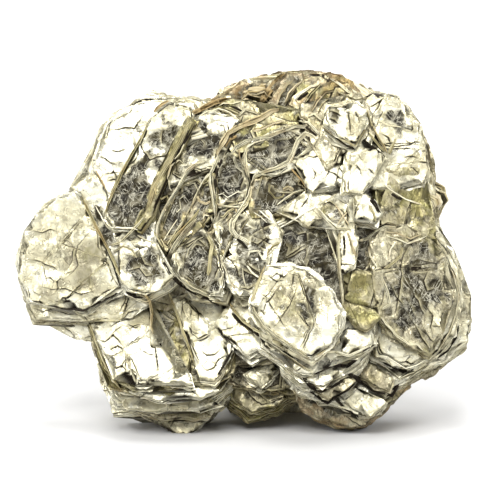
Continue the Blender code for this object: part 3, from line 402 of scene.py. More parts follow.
     (-24, 5, -17, 5.6, -9.4, 5, -7.4, 4, -11, 2.9, -14, 3.6, -17.4, 3)),
)

# Crystals on the sides, the top and the back: (name, look, centre of the outer sheet, way it looks in degrees
# round from the front by the right, degrees tipped up, degrees spun in its own plane, mean distance from its
# centre to a side, thickness, terraces written as ledges are, number that sets how uneven its sides are)
ROUND_CRYSTALS = (
    ("back_main", "silver", (6, 49, 42), 186, 4, 10, 14, 20, ((0.1, 3.4), (0.25, 2.6), (0.5, 1.4)), 1),
    ("back_high", "champagne", (-14, 45.5, 54), 204, 12, 34, 9.5, 18,
     ((0.12, 2.6), (0.3, 2), (0.6, 0.8)), 2.3),
    ("back_high_right", "window", (22, 46, 56), 166, 12, 0, 9, 18,
     ((0.12, 2.6), (0.3, 1.8), (0.6, 0.8)), 3.1),
    ("back_low_right", "white", (26, 44, 30), 158, -4, 22, 10, 18, ((0.12, 2.8), (0.3, 2), (0.6, 1)), 4.4),
    ("back_low_left", "silver", (-14, 44.5, 29), 202, -4, 50, 11, 18,
     ((0.12, 2.8), (0.3, 2), (0.6, 1)), 5.2),
    ("back_foot", "champagne", (5, 44, 9.5), 180, -10, 30, 11, 13, ((0.15, 2.2), (0.4, 1.8)), 6.7),
    ("back_shoulder", "smoky", (-28, 37, 44), 226, 4, 12, 10, 18, ((0.15, 2.4), (0.4, 2)), 3.7),
    ("back_cheek", "champagne", (37, 37, 45), 136, 6, 42, 9, 12, ((0.225, 1.6), (0.6, 0.6)), 4.9),
    ("left_side", "silver", (-41.5, 31, 37), 256, 4, 8, 7, 14, ((0.15, 2.2), (0.4, 1.8)), 7.9),
    ("left_high", "olive", (-31, 33, 54), 246, 22, 30, 6.5, 14, ((0.15, 2.2), (0.4, 1.6)), 5.6),
    ("left_low", "champagne", (-28, 29, 19), 242, -20, 20, 7.5, 12, ((0.2, 2), (0.5, 1.6)), 1.7),
    ("right_side", "silver", (42.5, 33, 30), 108, 2, 18, 7, 14, ((0.15, 2), (0.4, 1.4)), 8.8),
    ("right_low", "champagne", (33, 33, 15), 124, -20, 0, 7.5, 12, ((0.2, 2), (0.5, 1.6)), 2.9),
    ("top_left", "silver", (-14, 34, 63.5), 214, 50, 14, 7.5, 12, ((0.2, 2), (0.5, 1.4)), 9.6),
    ("top_right", "grey", (21, 37, 66.5), 156, 44, 40, 7, 12, ((0.2, 2), (0.5, 1.4)), 10.2),
    ("top_middle", "gold", (3, 39, 66), 178, 46, 26, 6.5, 7.5, ((0.32, 2), (0.8, 1.4)), 11.3),
    ("back_blade", "white", (-4, 50.5, 51), 192, 10, 52, 6.5, 9, ((0.25, 1.6), (0.6, 1.2)), 11.5),
    ("back_blade_low", "olive", (15, 51, 32), 172, -6, 36, 6.5, 9, ((0.25, 1.6), (0.6, 1.2)), 12.1),
    ("back_tilted", "grey", (18, 50, 50), 150, -12, 6, 5.5, 9, ((0.25, 1.6), (0.6, 1.2)), 13.7),
    ("back_tilted_low", "window", (-6, 49.5, 27), 222, -14, 28, 6, 9, ((0.25, 1.6), (0.6, 1.2)), 14.6),
)

# Sheets that stand on edge, as (look, width, height, path); those of look dark are no sheets but bands of
# painted shadow in gaps
RIDGES = (
    # upper left
    ("gold", 1.5, 0.7, (-16.2, 72.8, -18, 72, -20, 70)),
    ("olive", 0.9, 0.8, (-19.6, 70.4, -21, 68, -22.2, 65, -24, 62, -25.6, 59.2, -27, 56.4, -28.6, 52.8,
        -29.8, 50, -30.4, 47)),
    ("olive", 1.7, 1.3, (-10.8, 69.4, -12.4, 67.2, -14, 63.8, -16, 60.2, -18, 56.8, -19.6, 54.2, -20.4, 51,
        -21.4, 48)),
    ("dark", 0.7, 0.35, (-10.6, 68, -12.4, 64.6, -14.6, 61.2, -15.8, 59.2)),
    ("cream", 0.35, 0.5, (-12.9, 63.6, -14, 61.4, -15.4, 59.6)),
    ("olive", 1, 0.9, (-36.4, 52.8, -34.8, 50.2, -33.2, 47, -31.6, 43.8, -30, 41, -28.4, 37.8, -26.6, 33.4)),
    ("gold", 0.4, 0.4, (-32.6, 57.8, -31.2, 55.4, -30.2, 53.2)),
    ("white", 0.4, 0.5, (-32.6, 50, -31.2, 47.6, -30.2, 45.6, -29.4, 44.4)),
    ("cream", 0.7, 0.6, (-29.6, 41, -27, 41.8, -25, 43.8, -22.8, 46, -21.4, 48)),
    ("white", 0.5, 0.5, (-29.4, 45.2, -26.8, 45, -24.2, 45, -22.8, 44.4)),
    ("cream", 0.6, 0.6, (-28.8, 39.6, -26.4, 41, -24.4, 40.2, -23.2, 38)),
    ("olive", 0.7, 0.7, (-20, 44.6, -18.6, 42, -17.2, 39.6, -16.4, 38)),
    ("cream", 0.5, 0.6, (-23.6, 43.6, -21.6, 42.4, -19.4, 41.6)),
    # the fan, from the outermost sheet inwards
    ("gold", 1.7, 0.9, (-12, 69.6, -9.2, 71.2, -6.6, 72.6, -4.4, 73.2, -2.2, 73.4)),
    ("cream", 0.8, 0.7, (-10.4, 69, -7.8, 70.5, -5.6, 71, -3.2, 70.2, -0.8, 68)),
    ("cream", 0.5, 0.8, (-6, 71.4, -4.6, 72.3, -2.4, 72.2, 0.4, 73.3, 2.6, 72.8)),
    ("olive", 1, 0.6, (-4.6, 71.4, -2.6, 70.6, -0.8, 69.8)),
    ("dark", 0.7, 0.35, (-3.6, 71.8, -1.8, 71.2, -0.2, 70.4)),
    ("cream", 0.8, 0.9, (-1.6, 69.2, 0.2, 70.9, 2, 70.4, 3.8, 69.6)),
    ("tan", 1.7, 1, (-6.4, 60, -5.2, 62.8, -3.6, 65.6, -1.4, 67, 1, 68, 3.6, 69, 6, 70.6, 8.6, 71)),
    ("gold", 0.8, 0.6, (-4.4, 62.4, -3.2, 64.2, -1.4, 65.2)),
    ("cream", 1.1, 1, (-4.2, 60.6, -2.6, 61.2, -1.8, 62.6, 0.4, 63.8, 3, 64.6, 5.6, 65, 8.6, 66.2, 11, 67.2,
        13.2, 67, 15, 65.6)),
    ("cream", 0.5, 0.7, (0.2, 62.2, 2.2, 63.6, 5, 64.4)),
    ("tan", 0.9, 0.5, (1.4, 66, 3.6, 66.6, 6.4, 67.8, 9, 68.4)),
    ("cream", 0.6, 0.6, (11.8, 68.4, 14, 68, 15.8, 66, 17, 64.8)),
    ("dark", 0.8, 0.35, (13, 67.4, 14.6, 66, 16, 64.8)),
    ("cream", 1.3, 1.1, (-5.4, 61.4, -6.2, 59.4, -7.2, 57, -7.2, 54.6, -6.8, 52.2, -6.4, 49.8, -6.2, 47.2,
        -7, 45)),
    ("dark", 0.9, 0.35, (-4.6, 60.2, -5.8, 58, -6.4, 55.6, -6, 53.2)),
    ("white", 0.35, 0.5, (-4.6, 59.2, -5.6, 57.6, -5.4, 55.8)),
    ("cream", 0.8, 0.8, (-2, 62.2, -2.2, 59.8, -1.4, 58.2, -0.2, 57.2, 0.6, 55.6, 0.9, 53.6, 0.8, 51.4)),
    ("tan", 0.5, 0.6, (-1.2, 62.4, -1, 60.4, -0.4, 58.8)),
    ("white", 0.3, 0.4, (-6.2, 52, -4.8, 52.4, -3.6, 51.6, -1.6, 52.8, 0.6, 52.6)),
    ("cream", 0.7, 0.7, (-6.6, 51.2, -5.6, 50, -3.2, 49.5, -0.8, 49.4, 1, 50.4)),
    ("cream", 0.8, 0.8, (0.6, 63, 0.2, 60.8, 0.4, 58, 0.9, 56.2, 1.4, 54.4)),
    ("white", 0.3, 0.3, (0.6, 59, 1.8, 60.2, 3.8, 60.4, 5.6, 59.8, 5.8, 58.2)),
    ("cream", 1.4, 1.1, (1.2, 53.6, 2.4, 56.2, 4.6, 57.3, 7, 58, 9.6, 59.2, 10.8, 61.6, 11.8, 64.2,
        13.4, 65.6, 15.2, 64.8, 16.2, 63)),
    ("white", 0.3, 0.4, (10.8, 60.4, 12.8, 60, 14.6, 61)),
    ("gold", 0.5, 0.6, (9.6, 58.6, 11, 57, 12.6, 55.2, 13.8, 53.2)),
    ("olive", 0.6, 0.6, (5.6, 55, 5.4, 53, 6.8, 51.4, 8.4, 51.8, 8.8, 52.8)),
    ("tan", 1.3, 0.6, (8.2, 53.2, 9.6, 53.8, 11, 53)),
    ("cream", 0.8, 0.7, (6.8, 49.6, 8.8, 51.2, 10.8, 52.6, 13.4, 53.4)),
    ("cream", 1.5, 1.1, (1.6, 54.6, 1.2, 52.2, 0.2, 50.2, -1.2, 48.4, -2.6, 46.4, -2.8, 44.6, -1.8, 43.2,
        0.2, 42.2, 1.4, 40.8)),
    ("dark", 0.9, 0.35, (-2.2, 43, -0.6, 41.8, 1, 40.2)),
    ("cream", 1.2, 1, (-6.2, 59.2, -8.4, 59.4, -10.8, 58.6, -12.4, 57.4, -13.4, 55.4, -14.8, 53,
        -16.4, 50.8, -17.6, 48.4, -18.8, 45.4, -18.8, 42.8, -17.4, 40.2)),
    ("cream", 0.6, 0.7, (-12.6, 54.8, -10.8, 54.8, -10, 53.2, -10.8, 51.4, -11.4, 49.8)),
    ("cream", 0.8, 0.8, (-10.2, 52.6, -9, 55, -7.4, 57.2)),
    ("tan", 0.7, 0.6, (-10.4, 52.6, -9.8, 50.8, -8.4, 50.2, -7, 51)),
    ("cream", 0.5, 0.6, (-12.6, 58.6, -14.2, 59.8, -16, 58.4, -16.6, 56, -16.2, 53.6, -15.2, 52.4)),
    ("olive", 0.5, 0.5, (-19.4, 54.6, -19.2, 52.4, -18, 51.2, -16.8, 52, -16.4, 50.4)),
    ("olive", 0.8, 0.8, (-9.4, 49.6, -10.8, 47.4, -12.8, 45.4, -14.8, 43.4, -16.6, 40.8)),
    ("cream", 0.5, 0.6, (-9.2, 46.2, -8.6, 47.8, -7.2, 47.6, -6.8, 46, -8, 45.2, -9.2, 46.2)),
    ("olive", 0.8, 0.7, (-6.2, 48, -4.6, 47.2, -3.4, 48.6, -1.8, 49.4)),
    ("cream", 0.4, 0.5, (-14.4, 47.2, -16.2, 44.4, -17.8, 41.8)),
    ("cream", 0.4, 0.5, (-13.4, 46.6, -15.2, 43.8, -17, 41)),
    ("cream", 0.35, 0.5, (-12.6, 52.4, -14.2, 51.2, -13.8, 49.2, -15.2, 48)),
    # the shell and what crosses it
    ("cream", 1.9, 1.2, (-9.2, 48, -11.2, 46, -13.2, 43.6, -15, 41, -16.2, 38.6, -15.4, 36, -13.6, 33.8,
        -11.2, 32, -8.4, 30.8, -5.8, 29.4)),
    ("dark", 1.3, 0.35, (-17.8, 38.2, -16.4, 35.2, -14.2, 32.8, -11.2, 31, -7.6, 29.4, -5.4, 28)),
    ("cream", 0.4, 0.5, (-12.8, 37.6, -12, 40.4, -10.2, 42.4, -8.4, 43.2)),
    ("olive", 1.5, 0.8, (-8.2, 43.8, -7, 41.4, -7.4, 38.4, -7.6, 36, -8.2, 34)),
    ("white", 0.3, 0.5, (-6.6, 42.8, -5.4, 41.2, -5.2, 39.6)),
    ("cream", 0.6, 0.7, (-2.6, 42.8, -3.8, 40.4, -4.8, 37.8, -4, 36, -3, 33.2, -1.4, 31.2)),
    ("white", 0.4, 0.6, (1.8, 48.6, 3.6, 47.4, 5.2, 45.8)),
    ("white", 0.4, 0.6, (3, 49, 4.6, 47.6, 6.4, 46.2)),
    ("white", 0.5, 0.6, (7.2, 44.8, 10.2, 46.4, 13.6, 48.6, 16.2, 49.8)),
    ("cream", 0.5, 0.6, (3.4, 34, 1.6, 35.4, 0.4, 37)),
    ("cream", 0.5, 0.5, (-0.4, 36.6, -0.2, 34, 0.6, 31.6)),
    ("olive", 0.6, 0.6, (4.8, 37.6, 5.2, 39.8, 6.2, 41, 8.4, 42)),
    ("cream", 0.7, 0.7, (5.6, 38, 4, 38.2, 3, 40, 1.2, 39.8, 0.6, 38.2)),
    # around the window stack and the oval plate
    ("olive", 0.8, 0.7, (4.6, 37, 3, 33, 1.8, 29.8, 1, 28)),
    ("cream", 1.6, 0.9, (1.4, 28.6, 2.6, 26, 4.2, 23.6, 6.6, 21.6, 9.6, 19.6, 12.6, 17.6, 14.8, 16.2)),
    ("olive", 0.8, 0.8, (-3.4, 29, -2.2, 26.8, -0.2, 24.6, 2.4, 22.8, 4.6, 21.8)),
    ("dark", 1.1, 0.35, (-3, 26.6, -1, 24.6, 1.4, 23, 3.6, 21.4, 4.2, 19.4)),
    ("cream", 0.9, 0.9, (4.6, 20.4, 7.4, 18.4, 10.4, 16.4, 13.2, 14.4, 15, 13.4)),
    ("dark", 0.8, 0.35, (14.6, 12.8, 17, 14.2, 19.4, 15.2, 22.4, 14.8, 25, 16.8)),
    ("cream", 0.8, 0.8, (14.6, 16.6, 17.4, 18.2, 20.2, 18, 22.6, 17.2, 25.2, 18.4, 28, 19.8)),
    ("dark", 0.5, 0.35, (25, 17.8, 26.8, 18.8, 28.4, 19.6)),
    ("cream", 0.9, 0.9, (20.8, 45, 20.4, 41, 20.6, 36.6, 21, 33, 21.4, 29, 21.2, 26.6)),
    ("tan", 0.9, 0.7, (22.4, 44.2, 23.4, 41, 24.2, 38.6)),
    ("dark", 0.7, 0.35, (21.6, 43.6, 21.8, 41, 21.6, 38.4)),
    ("cream", 1, 0.9, (15.4, 49.8, 17.6, 47.2, 20, 44.9, 23.4, 44.7)),
    ("cream", 0.5, 0.7, (15.8, 50, 18.2, 51.2, 20.6, 52.6)),
    ("tan", 0.4, 0.6, (19.6, 50.4, 21.4, 47.8, 23, 45.2)),
    ("tan", 0.4, 0.6, (20.2, 45.4, 21.4, 47.4, 22.6, 48.6)),
    ("dark", 1.4, 0.35, (17, 15, 17.6, 14.8)),
    # around the right book
    ("cream", 1.2, 0.8, (24.6, 42, 26.8, 42.6, 28.8, 44.2, 31, 45.2, 33.6, 45)),
    ("cream", 0.6, 0.7, (30.4, 43.4, 33, 42.8, 35.6, 41.6, 38, 42.4, 40.4, 43.6)),
    ("tan", 0.5, 0.6, (30.2, 44.2, 33.4, 43.8, 36.2, 42.6, 39, 43.8)),
    ("cream", 0.7, 0.8, (29.2, 26.4, 31, 24, 33.4, 21.4, 36, 19.6, 37.6, 19.8, 39.6, 17.8)),
    ("cream", 0.8, 0.7, (29.6, 35, 31.2, 31, 31.6, 28.4, 29.4, 26.8)),
    ("olive", 0.7, 0.6, (30.4, 35.6, 32.4, 37.4, 34, 38.8, 34.6, 41.2)),
    ("cream", 0.6, 0.5, (27, 41.6, 27.4, 38.8, 28.8, 36.4, 27.4, 35)),
    ("white", 0.5, 0.5, (31.4, 38.2, 31.8, 40.2, 33, 42)),
    ("cream", 0.9, 0.9, (41.8, 42.4, 44, 38.6, 46, 34.4, 47, 30, 46.4, 26, 44.8, 22, 42.4, 18, 40.2, 16.6)),
    ("dark", 0.6, 0.35, (47.2, 24.4, 46.4, 21, 44.6, 18, 42, 16.2)),
    ("white", 0.6, 0.7, (28.8, 17.4, 31.2, 17, 33.4, 15.6, 35.2, 14.4, 37.6, 15.2, 40, 16.6)),
    ("cream", 0.6, 0.7, (28.6, 15.8, 31.2, 14.2, 34, 12, 37.2, 13.4, 40.2, 15.2)),
    ("dark", 0.9, 0.35, (29.8, 16, 32.2, 14.8, 34.6, 13.6, 37.6, 14.2)),
    # top right
    ("gold", 2.2, 0.9, (3.4, 72.4, 5.2, 74.8, 7, 77.2, 9.2, 79)),
    ("tan", 0.8, 0.9, (7, 71.6, 7.8, 74.4, 9.4, 76.6, 11.2, 77.6)),
    ("tan", 0.8, 0.9, (8.8, 72, 9.8, 74.4, 11.6, 76.4, 13, 77.4)),
    ("white", 0.7, 0.7, (10.8, 72.8, 12.4, 74.6, 14.6, 76, 16.4, 76.4)),
    ("dark", 0.9, 0.35, (11.4, 72.8, 13, 74, 14.4, 74.8)),
    ("olive", 0.7, 0.8, (13.2, 72.2, 14.6, 74.4, 16.8, 76.6)),
    ("tan", 0.8, 0.7, (14.4, 70, 15.8, 72.6, 17.8, 74.8, 20.2, 75.2)),
    ("olive", 0.6, 0.6, (16, 69.8, 17, 72, 18.8, 73.6)),
    ("cream", 0.8, 0.8, (18.6, 78, 20.8, 76.6, 22.8, 74.8, 25, 73.6)),
    ("cream", 0.6, 0.7, (19.8, 75.2, 21.8, 74, 24.4, 73, 27.2, 73.6)),
    ("cream", 0.5, 0.6, (13.4, 69.2, 15.2, 69.9, 17, 68.4, 16.4, 66.8)),
    ("cream", 0.7, 0.8, (17, 68, 17.6, 70, 18.6, 71.4, 20.8, 71.4, 23.4, 72.4)),
    ("olive", 0.5, 0.6, (20, 64.8, 22.2, 63.8, 24.2, 62.8, 25.4, 64.8, 26.6, 67)),
    ("dark", 0.7, 0.35, (19.6, 64.8, 22, 63.2, 24.2, 62)),
    ("dark", 0.9, 0.35, (25.6, 64.6, 27.8, 62.6, 30.8, 60.4)),
    ("olive", 0.6, 0.7, (26.8, 66.2, 28.2, 64.4, 30.8, 61.4)),
    ("olive", 0.8, 0.7, (26.4, 71.6, 27.2, 69, 28.4, 66.2, 30.4, 63, 31.4, 60.6)),
    ("cream", 0.5, 0.6, (29, 68.8, 31.4, 67.4, 34.8, 67)),
    ("olive", 0.9, 0.6, (33.2, 64.8, 32.2, 62.6, 31.4, 60.8)),
    ("cream", 0.5, 0.6, (29.8, 55, 32, 53.2, 35.2, 51.2, 39, 50)),
    ("dark", 0.9, 0.35, (31.8, 52.6, 33.4, 51.6, 34.8, 51.2)),
    ("dark", 1.2, 0.35, (27.2, 51.6, 28.4, 50.2, 29.2, 48.6, 29.8, 47.6)),
    ("olive", 0.9, 0.6, (27, 50.2, 28.2, 48, 28.8, 45.8)),
    # low books
    ("olive", 0.7, 0.7, (-16.8, 31.6, -15, 27, -13.2, 22, -11.6, 17.6, -10.4, 14.2)),
    ("cream", 0.4, 0.5, (-11.8, 19.8, -10.8, 17.4, -9.6, 15.2)),
    ("tan", 0.8, 0.6, (-22, 31.2, -20.6, 29, -20.2, 26.2, -20.4, 23.4, -19.6, 21.2)),
    ("cream", 0.6, 0.6, (-26.2, 18.6, -24.8, 14.6, -23.4, 10.8)),
    ("olive", 0.7, 0.8, (-34, 24.4, -32.4, 20.2, -30.6, 15.8, -28.6, 12.2, -26.8, 9.6)),
    ("dark", 0.8, 0.35, (-43.4, 28.2, -39, 27.4, -35.2, 27, -31.4, 28.8, -26.6, 31.4)),
    ("dark", 1.2, 0.35, (-26, 31.2, -23.6, 30, -21.6, 29.8)),
    ("dark", 0.6, 0.35, (-6, 23.4, -4.2, 21.2, -2, 19.2)),
    ("dark", 0.8, 0.35, (-6, 12.6, -4.2, 15.4, -2.4, 18.6)),
    # bands of painted shadow in the gaps below the treads on the right
    ("dark", 1.5, 0.35, (12.4, 13, 14.4, 10.6, 16.8, 9.4, 19.6, 10.9, 22.6, 12.6)),
    ("dark", 1.3, 0.35, (14.2, 9.4, 18.2, 6.8, 21.4, 9.2, 24.8, 11.4)),
    ("dark", 1, 0.35, (18.8, 8.6, 22.2, 5.4, 25.6, 3.4)),
    ("dark", 1.4, 0.35, (22.2, 13.6, 28.2, 9.6, 32.2, 8.4, 34, 11.6)),
)

# Broken edges that stand out on a front book, as (lift, path) with the lifted side on the left of the path
CRACKS = {
    "left_lobe": (
        (0.45, (-32.5, 44.5, -34.2, 43.2, -36, 41, -36.4, 39, -35.8, 36.8, -37, 35.2, -39.4, 33.4)),
        (0.3, (-47, 38.2, -44.6, 37.8, -43, 37, -41.2, 36.4, -40, 35)),
        (0.3, (-29.2, 33, -28.6, 34.2, -27.6, 35.4)),
        (0.22, (-46.6, 44.6, -44.2, 44, -42.4, 44.8, -40.6, 44.2)),
        (0.2, (-45, 32.4, -41.6, 31.6, -38.8, 31.8, -35.6, 30.6, -32, 31.4)),
    ),
    "left_lobe_ledge": (
        (0.4, (-47, 27.8, -44, 26.8, -41.6, 27.4, -38.6, 26.2, -34.8, 26.6, -31.2, 27.8)),
        (0.3, (-27, 24.6, -25.2, 26.6, -22.2, 27.4)),
    ),
    "upper_left_bright": (
        (0.5, (-29.4, 66.3, -27.6, 66.4, -26, 66.9, -24, 66.7, -23.2, 68, -22, 69.6)),
        (0.4, (-32, 60.6, -30.4, 60.2, -29.2, 59.2, -27.6, 58.6)),
        (0.3, (-29.8, 55.2, -28.6, 55.6, -27.2, 55.4)),
        (0.25, (-29.4, 62, -27.6, 61.6, -25.8, 62.2)),
    ),
    "oval_plate": (
        (0.3, (11.6, 32.4, 11, 30.4, 10, 28, 8.6, 26, 7.4, 24.2, 6, 22.8)),
        (0.2, (5.2, 34.6, 7, 33.4, 9, 33.6)),
    ),
    "low_book_left_sheet": (
        (0.45, (-32.4, 20.6, -30.4, 20, -28.6, 21.4, -27.4, 20.4, -26.2, 18.6)),
        (0.4, (-29.6, 18.2, -27.6, 19.2, -26, 18.4)),
        (0.4, (-29, 14, -26.6, 14.9, -25.4, 13.6)),
        (0.4, (-28.2, 11.9, -26.6, 12, -25.2, 12.6)),
        (0.3, (-24.8, 16.8, -23.6, 14.2, -22.4, 11.6)),
        (0.22, (-25.6, 24, -24, 23, -22.8, 23.6)),
    ),
    "low_book_right_sheet": (
        (0.4, (-6.2, 23.4, -5.4, 22.2, -3.8, 20.8, -2.6, 19.4)),
        (0.3, (-9.8, 18.2, -8, 17, -6.4, 17.2, -5, 18.4)),
        (0.3, (-9.6, 15, -8, 14, -6.6, 14.6, -5.6, 16.2, -3.2, 17.6)),
        (0.3, (-11.4, 20, -10.6, 17.6, -9.6, 15.8)),
        (0.25, (-10.8, 28, -9.8, 26.2, -9.9, 24)),
    ),
    "low_book": (
        (0.35, (-17, 20, -16, 21.4, -15.2, 22.6)),
    ),
    "v_plate": (
        (0.6, (22.9, 70.6, 22.8, 69, 23.1, 67, 23.2, 65.2)),
        (0.5, (18.6, 70.2, 20.2, 69.6, 21.4, 68.8)),
        (0.5, (18.2, 68.6, 19.6, 68.2, 20.6, 67.2)),
        (0.35, (24, 70.4, 24.8, 69, 25.2, 67.2)),
    ),
    "crumpled_white": (
        (0.3, (13, 60.8, 15, 60.4, 17, 60.8, 18.6, 59.6)),
        (0.3, (14.6, 58.4, 15.6, 56.8, 15.2, 55)),
        (0.3, (20.4, 58.6, 21.6, 57, 23.4, 58.4)),
        (0.3, (18, 57.4, 19.8, 56.8, 21.6, 55.2)),
    ),
    "crumpled_tongue": (
        (0.4, (27, 58, 27.8, 57, 28.4, 56.4)),
        (0.3, (24.2, 59, 25.2, 57.6, 25.6, 56)),
    ),
    "right_shoulder": (
        (0.4, (34.8, 63.8, 36, 62.9, 37.4, 63.4, 38.6, 63)),
        (0.3, (34.4, 60.2, 36.4, 60.5, 38.4, 60.2)),
        (0.3, (27, 71, 28.6, 72, 30.6, 73.4)),
        (0.3, (29.8, 65.4, 31.4, 64.4, 32, 62.6)),
    ),
    "right_book": (
        (0.3, (36, 41.4, 34.6, 38.6, 34, 35.6, 33.8, 32, 33.2, 28.6, 32.6, 24.6)),
        (0.35, (40, 36, 38.8, 33.4, 39.6, 31.2, 41.4, 31.8)),
        (0.25, (39.4, 27.8, 40.8, 25.8, 40.4, 23.4, 41, 21.6)),
    ),
    "grey_plate": (
        (0.35, (-26.4, 38.2, -24.6, 39.6, -22.6, 39, -21.6, 37, -19.2, 36.4)),
        (0.25, (-24.8, 35.6, -22.8, 36.2, -21.4, 34.4, -19.4, 34.6)),
    ),
    "left_flap": (
        (0.4, (0.6, 37, 2, 36, 3.6, 35)),
        (0.4, (1.2, 42, 3, 41.2, 4.8, 42.6, 6.6, 42.2)),
        (0.35, (-4, 39, -2.6, 37.6, -1.4, 36, -1, 34)),
    ),
    "crumpled_low": (
        (0.35, (12, 49, 13.4, 50.8, 14.2, 52)),
        (0.35, (16.6, 50, 18.6, 50.6, 20.2, 49.6)),
    ),
}

# Patches of a thinner sheet on a face, as (lift, smoke, outline)
PATCHES = {
    "upper_left_window": (
        (0.25, 0.1, (-16.4, 72, -12, 71, -11.5, 68, -16, 61, -20.5, 60, -22.6, 63, -20, 69)),
    ),
}

# Spots of colour on a front book, as (kind, x, v, half width, half height, strength)
SPOTS = {
    "left_lobe": (
        ("tint", -40.5, 41, 5, 6.5, 0.5), ("tint", -32.5, 37, 4, 5, 0.36), ("tint", -37, 31.6, 8, 2.4, 0.3),
    ),
    "left_strip": (("smoke", -30, 43.5, 2.2, 2.4, 0.6),),
    "grey_plate": (("smoke", -24, 38, 4, 3, 0.3),),
    "oval_plate": (("tint", 12, 29.4, 6.4, 6, 0.62), ("smoke", 12.6, 28, 4.6, 4, 0.42)),
    "v_plate": (("smoke", 19.6, 69, 1.4, 1.8, 0.7), ("tint", 23.6, 67, 2, 3, 0.5)),
    "right_book": (
        ("smoke", 38.5, 31.5, 5, 8, 0.3), ("smoke", 42, 25, 3, 3.4, -0.6), ("smoke", 33, 40, 3, 3, -0.3),
        ("smoke", 36, 18.6, 3, 1.6, -0.4),
    ),
    "upper_left_window": (
        ("smoke", -25.2, 51.2, 5, 6, 0.75), ("smoke", -16, 68, 4, 4, -0.25),
        ("smoke", -18.4, 65, 2.4, 1.6, 0.35),
    ),
    "window_stack": (("tint", 17, 36, 4, 5, 0.35),),
    "crumpled_low": (("tint", 18.6, 48.4, 2, 2.4, 0.6), ("smoke", 18.6, 48.4, 2, 2.4, 0.45)),
    "dark_pane": (("smoke", 26, 44, 4, 3, 0.45), ("tint", 26, 44, 4, 3, 0.3)),
    "left_flap": (
        ("smoke", 1.6, 34.6, 2.4, 3, 0.5), ("smoke", 3.6, 41.8, 2, 1.4, 0.45),
        ("smoke", -2.4, 38, 1.4, 2.4, -0.45),
    ),
    "low_book": (("smoke", -17.8, 23.8, 2, 3.4, 0.45),),
    "fan_grey": (("smoke", -8, 62, 3.4, 2.6, 0.3), ("smoke", -6, 68.4, 3, 2, -0.3)),
    "right_shoulder": (("smoke", 33, 69, 2.4, 1.6, 0.8),),
}

Stack = namedtuple("Stack", "name look number origin across along inward rings middle fine coarse")
Edge = namedtuple("Edge", "path closed lift smoke strength")
# In Row and in VALUES, the value that darkens a point's colour where shade would fall (below lifted edges, at
# the foot of a sheet's edge, in grooves) is painted shade
Row = namedtuple("Row", "outline depth tone crack wall")
Face = namedtuple("Face", "points height values triangles rim")
VALUES = ("smoke", "tint", "brown", "rim", "crack", "tone")


# ---------------------------------------------------------------- noise

def scattered(cells, seed):
    """A repeatable number between 0 and 1 for each row of three whole numbers, by a common hash."""
    words = cells.astype(np.int64).view(np.uint64)
    mixed = (words[:, 0] * np.uint64(0x9E3779B185EBCA87)) ^ (words[:, 1] * np.uint64(0xC2B2AE3D27D4EB4F))
    mixed ^= (words[:, 2] * np.uint64(0x165667B19E3779F9)) ^ np.uint64(seed * 7919 + 17)
    mixed ^= mixed >> np.uint64(29)
    mixed *= np.uint64(0xBF58476D1CE4E5B9)
    mixed ^= mixed >> np.uint64(32)
    return (mixed >> np.uint64(40)).astype(float) / (1 << 24)


def noise(points, size, layer, seed):
    """Smooth noise between -1 and 1 on flat points, a new pattern for each whole layer."""
    place = np.column_stack((points / size, np.full(len(points), float(layer))))
    cells = np.floor(place)
    part = place - cells
    fade = part * part * (3.0 - 2.0 * part)
    total = np.zeros(len(points))
    for corner in itertools.product((0, 1), repeat=3):
        weight = np.prod(np.where(corner, fade, 1.0 - fade), axis=1)
        total += weight * scattered(cells + corner, seed)
    return 2.0 * total - 1.0


def crease_relief(stack, points):
    """How high the sharp folds that are pressed into a stack's sheets stand at these points."""
    seed = stack.number * 31
    bend = np.column_stack((noise(points, BEND_SIZE, 0, seed + 5), noise(points, BEND_SIZE, 7, seed + 6)))
    bent = points + CREASE_BEND * bend
    height = np.zeros(len(points))
    for number, (size, share) in enumerate(CREASES):
        height += share * (1.0 - CREASE_SHARP * np.abs(noise(bent, size, 11 * number, seed)))
    return stack.look.crease * height


# ---------------------------------------------------------------- flat geometry

def pairs(numbers):
    """The points of an outline or a path that is written as x, v, x, v and so on."""
    return np.array(numbers, float).reshape(-1, 2)


def signed_area(outline):
    ahead = np.roll(outline, -1, axis=0)
    return 0.5 * np.sum(outline[:, 0] * ahead[:, 1] - ahead[:, 0] * outline[:, 1])


def nearest(points, path, closed):
    """Distance to a path, which side of it (1 is the left), and the share along it, for each point."""
    starts = path if closed else path[:-1]
    ends = np.roll(path, -1, axis=0) if closed else path[1:]
    spans = ends - starts
    lengths = np.maximum(np.sum(spans * spans, axis=1), 1e-12)
    away = points[:, None, :] - starts[None, :, :]
    share = np.clip(np.sum(away * spans[None], axis=2) / lengths[None], 0.0, 1.0)
    rest = away - share[:, :, None] * spans[None]
    squares = np.sum(rest * rest, axis=2)
    best = np.argmin(squares, axis=1)
    every = np.arange(len(points))
    turn = spans[best, 0] * away[every, best, 1] - spans[best, 1] * away[every, best, 0]
    return np.sqrt(squares[every, best]), np.sign(turn), (best + share[every, best]) / len(spans)


def further(points, path, closed, margin):
    """The points that lie further than the margin from a path."""
    return points[nearest(points, path, closed)[0] > margin]


def inside(points, outline):
    """Which points lie in the outline, by counting the sides that a ray to the right crosses."""
    ahead = np.roll(outline, -1, axis=0)
    crosses = np.zeros(len(points), bool)
    for (x0, y0), (x1, y1) in zip(outline, ahead):
        if y0 != y1:
            spans = (y0 > points[:, 1]) != (y1 > points[:, 1])
            crosses ^= spans & (points[:, 0] < x0 + (points[:, 1] - y0) * (x1 - x0) / (y1 - y0))
    return crosses


def hexagonal_grid(outline, step, margin, rng):
    """Slightly scattered points on a triangular grid within an outline, further than the margin from it."""
    low, high = outline.min(axis=0), outline.max(axis=0)
    rows = np.arange(low[1], high[1], step * math.sqrt(0.75))
    points = [(x + (i % 2) * step / 2.0, y) for i, y in enumerate(rows)
              for x in np.arange(low[0], high[0], step)]
    points = np.array(points).reshape(-1, 2)
    points = points + rng.uniform(-GRID_SCATTER, GRID_SCATTER, points.shape) * step
    return further(points[inside(points, outline)], outline, True, margin)


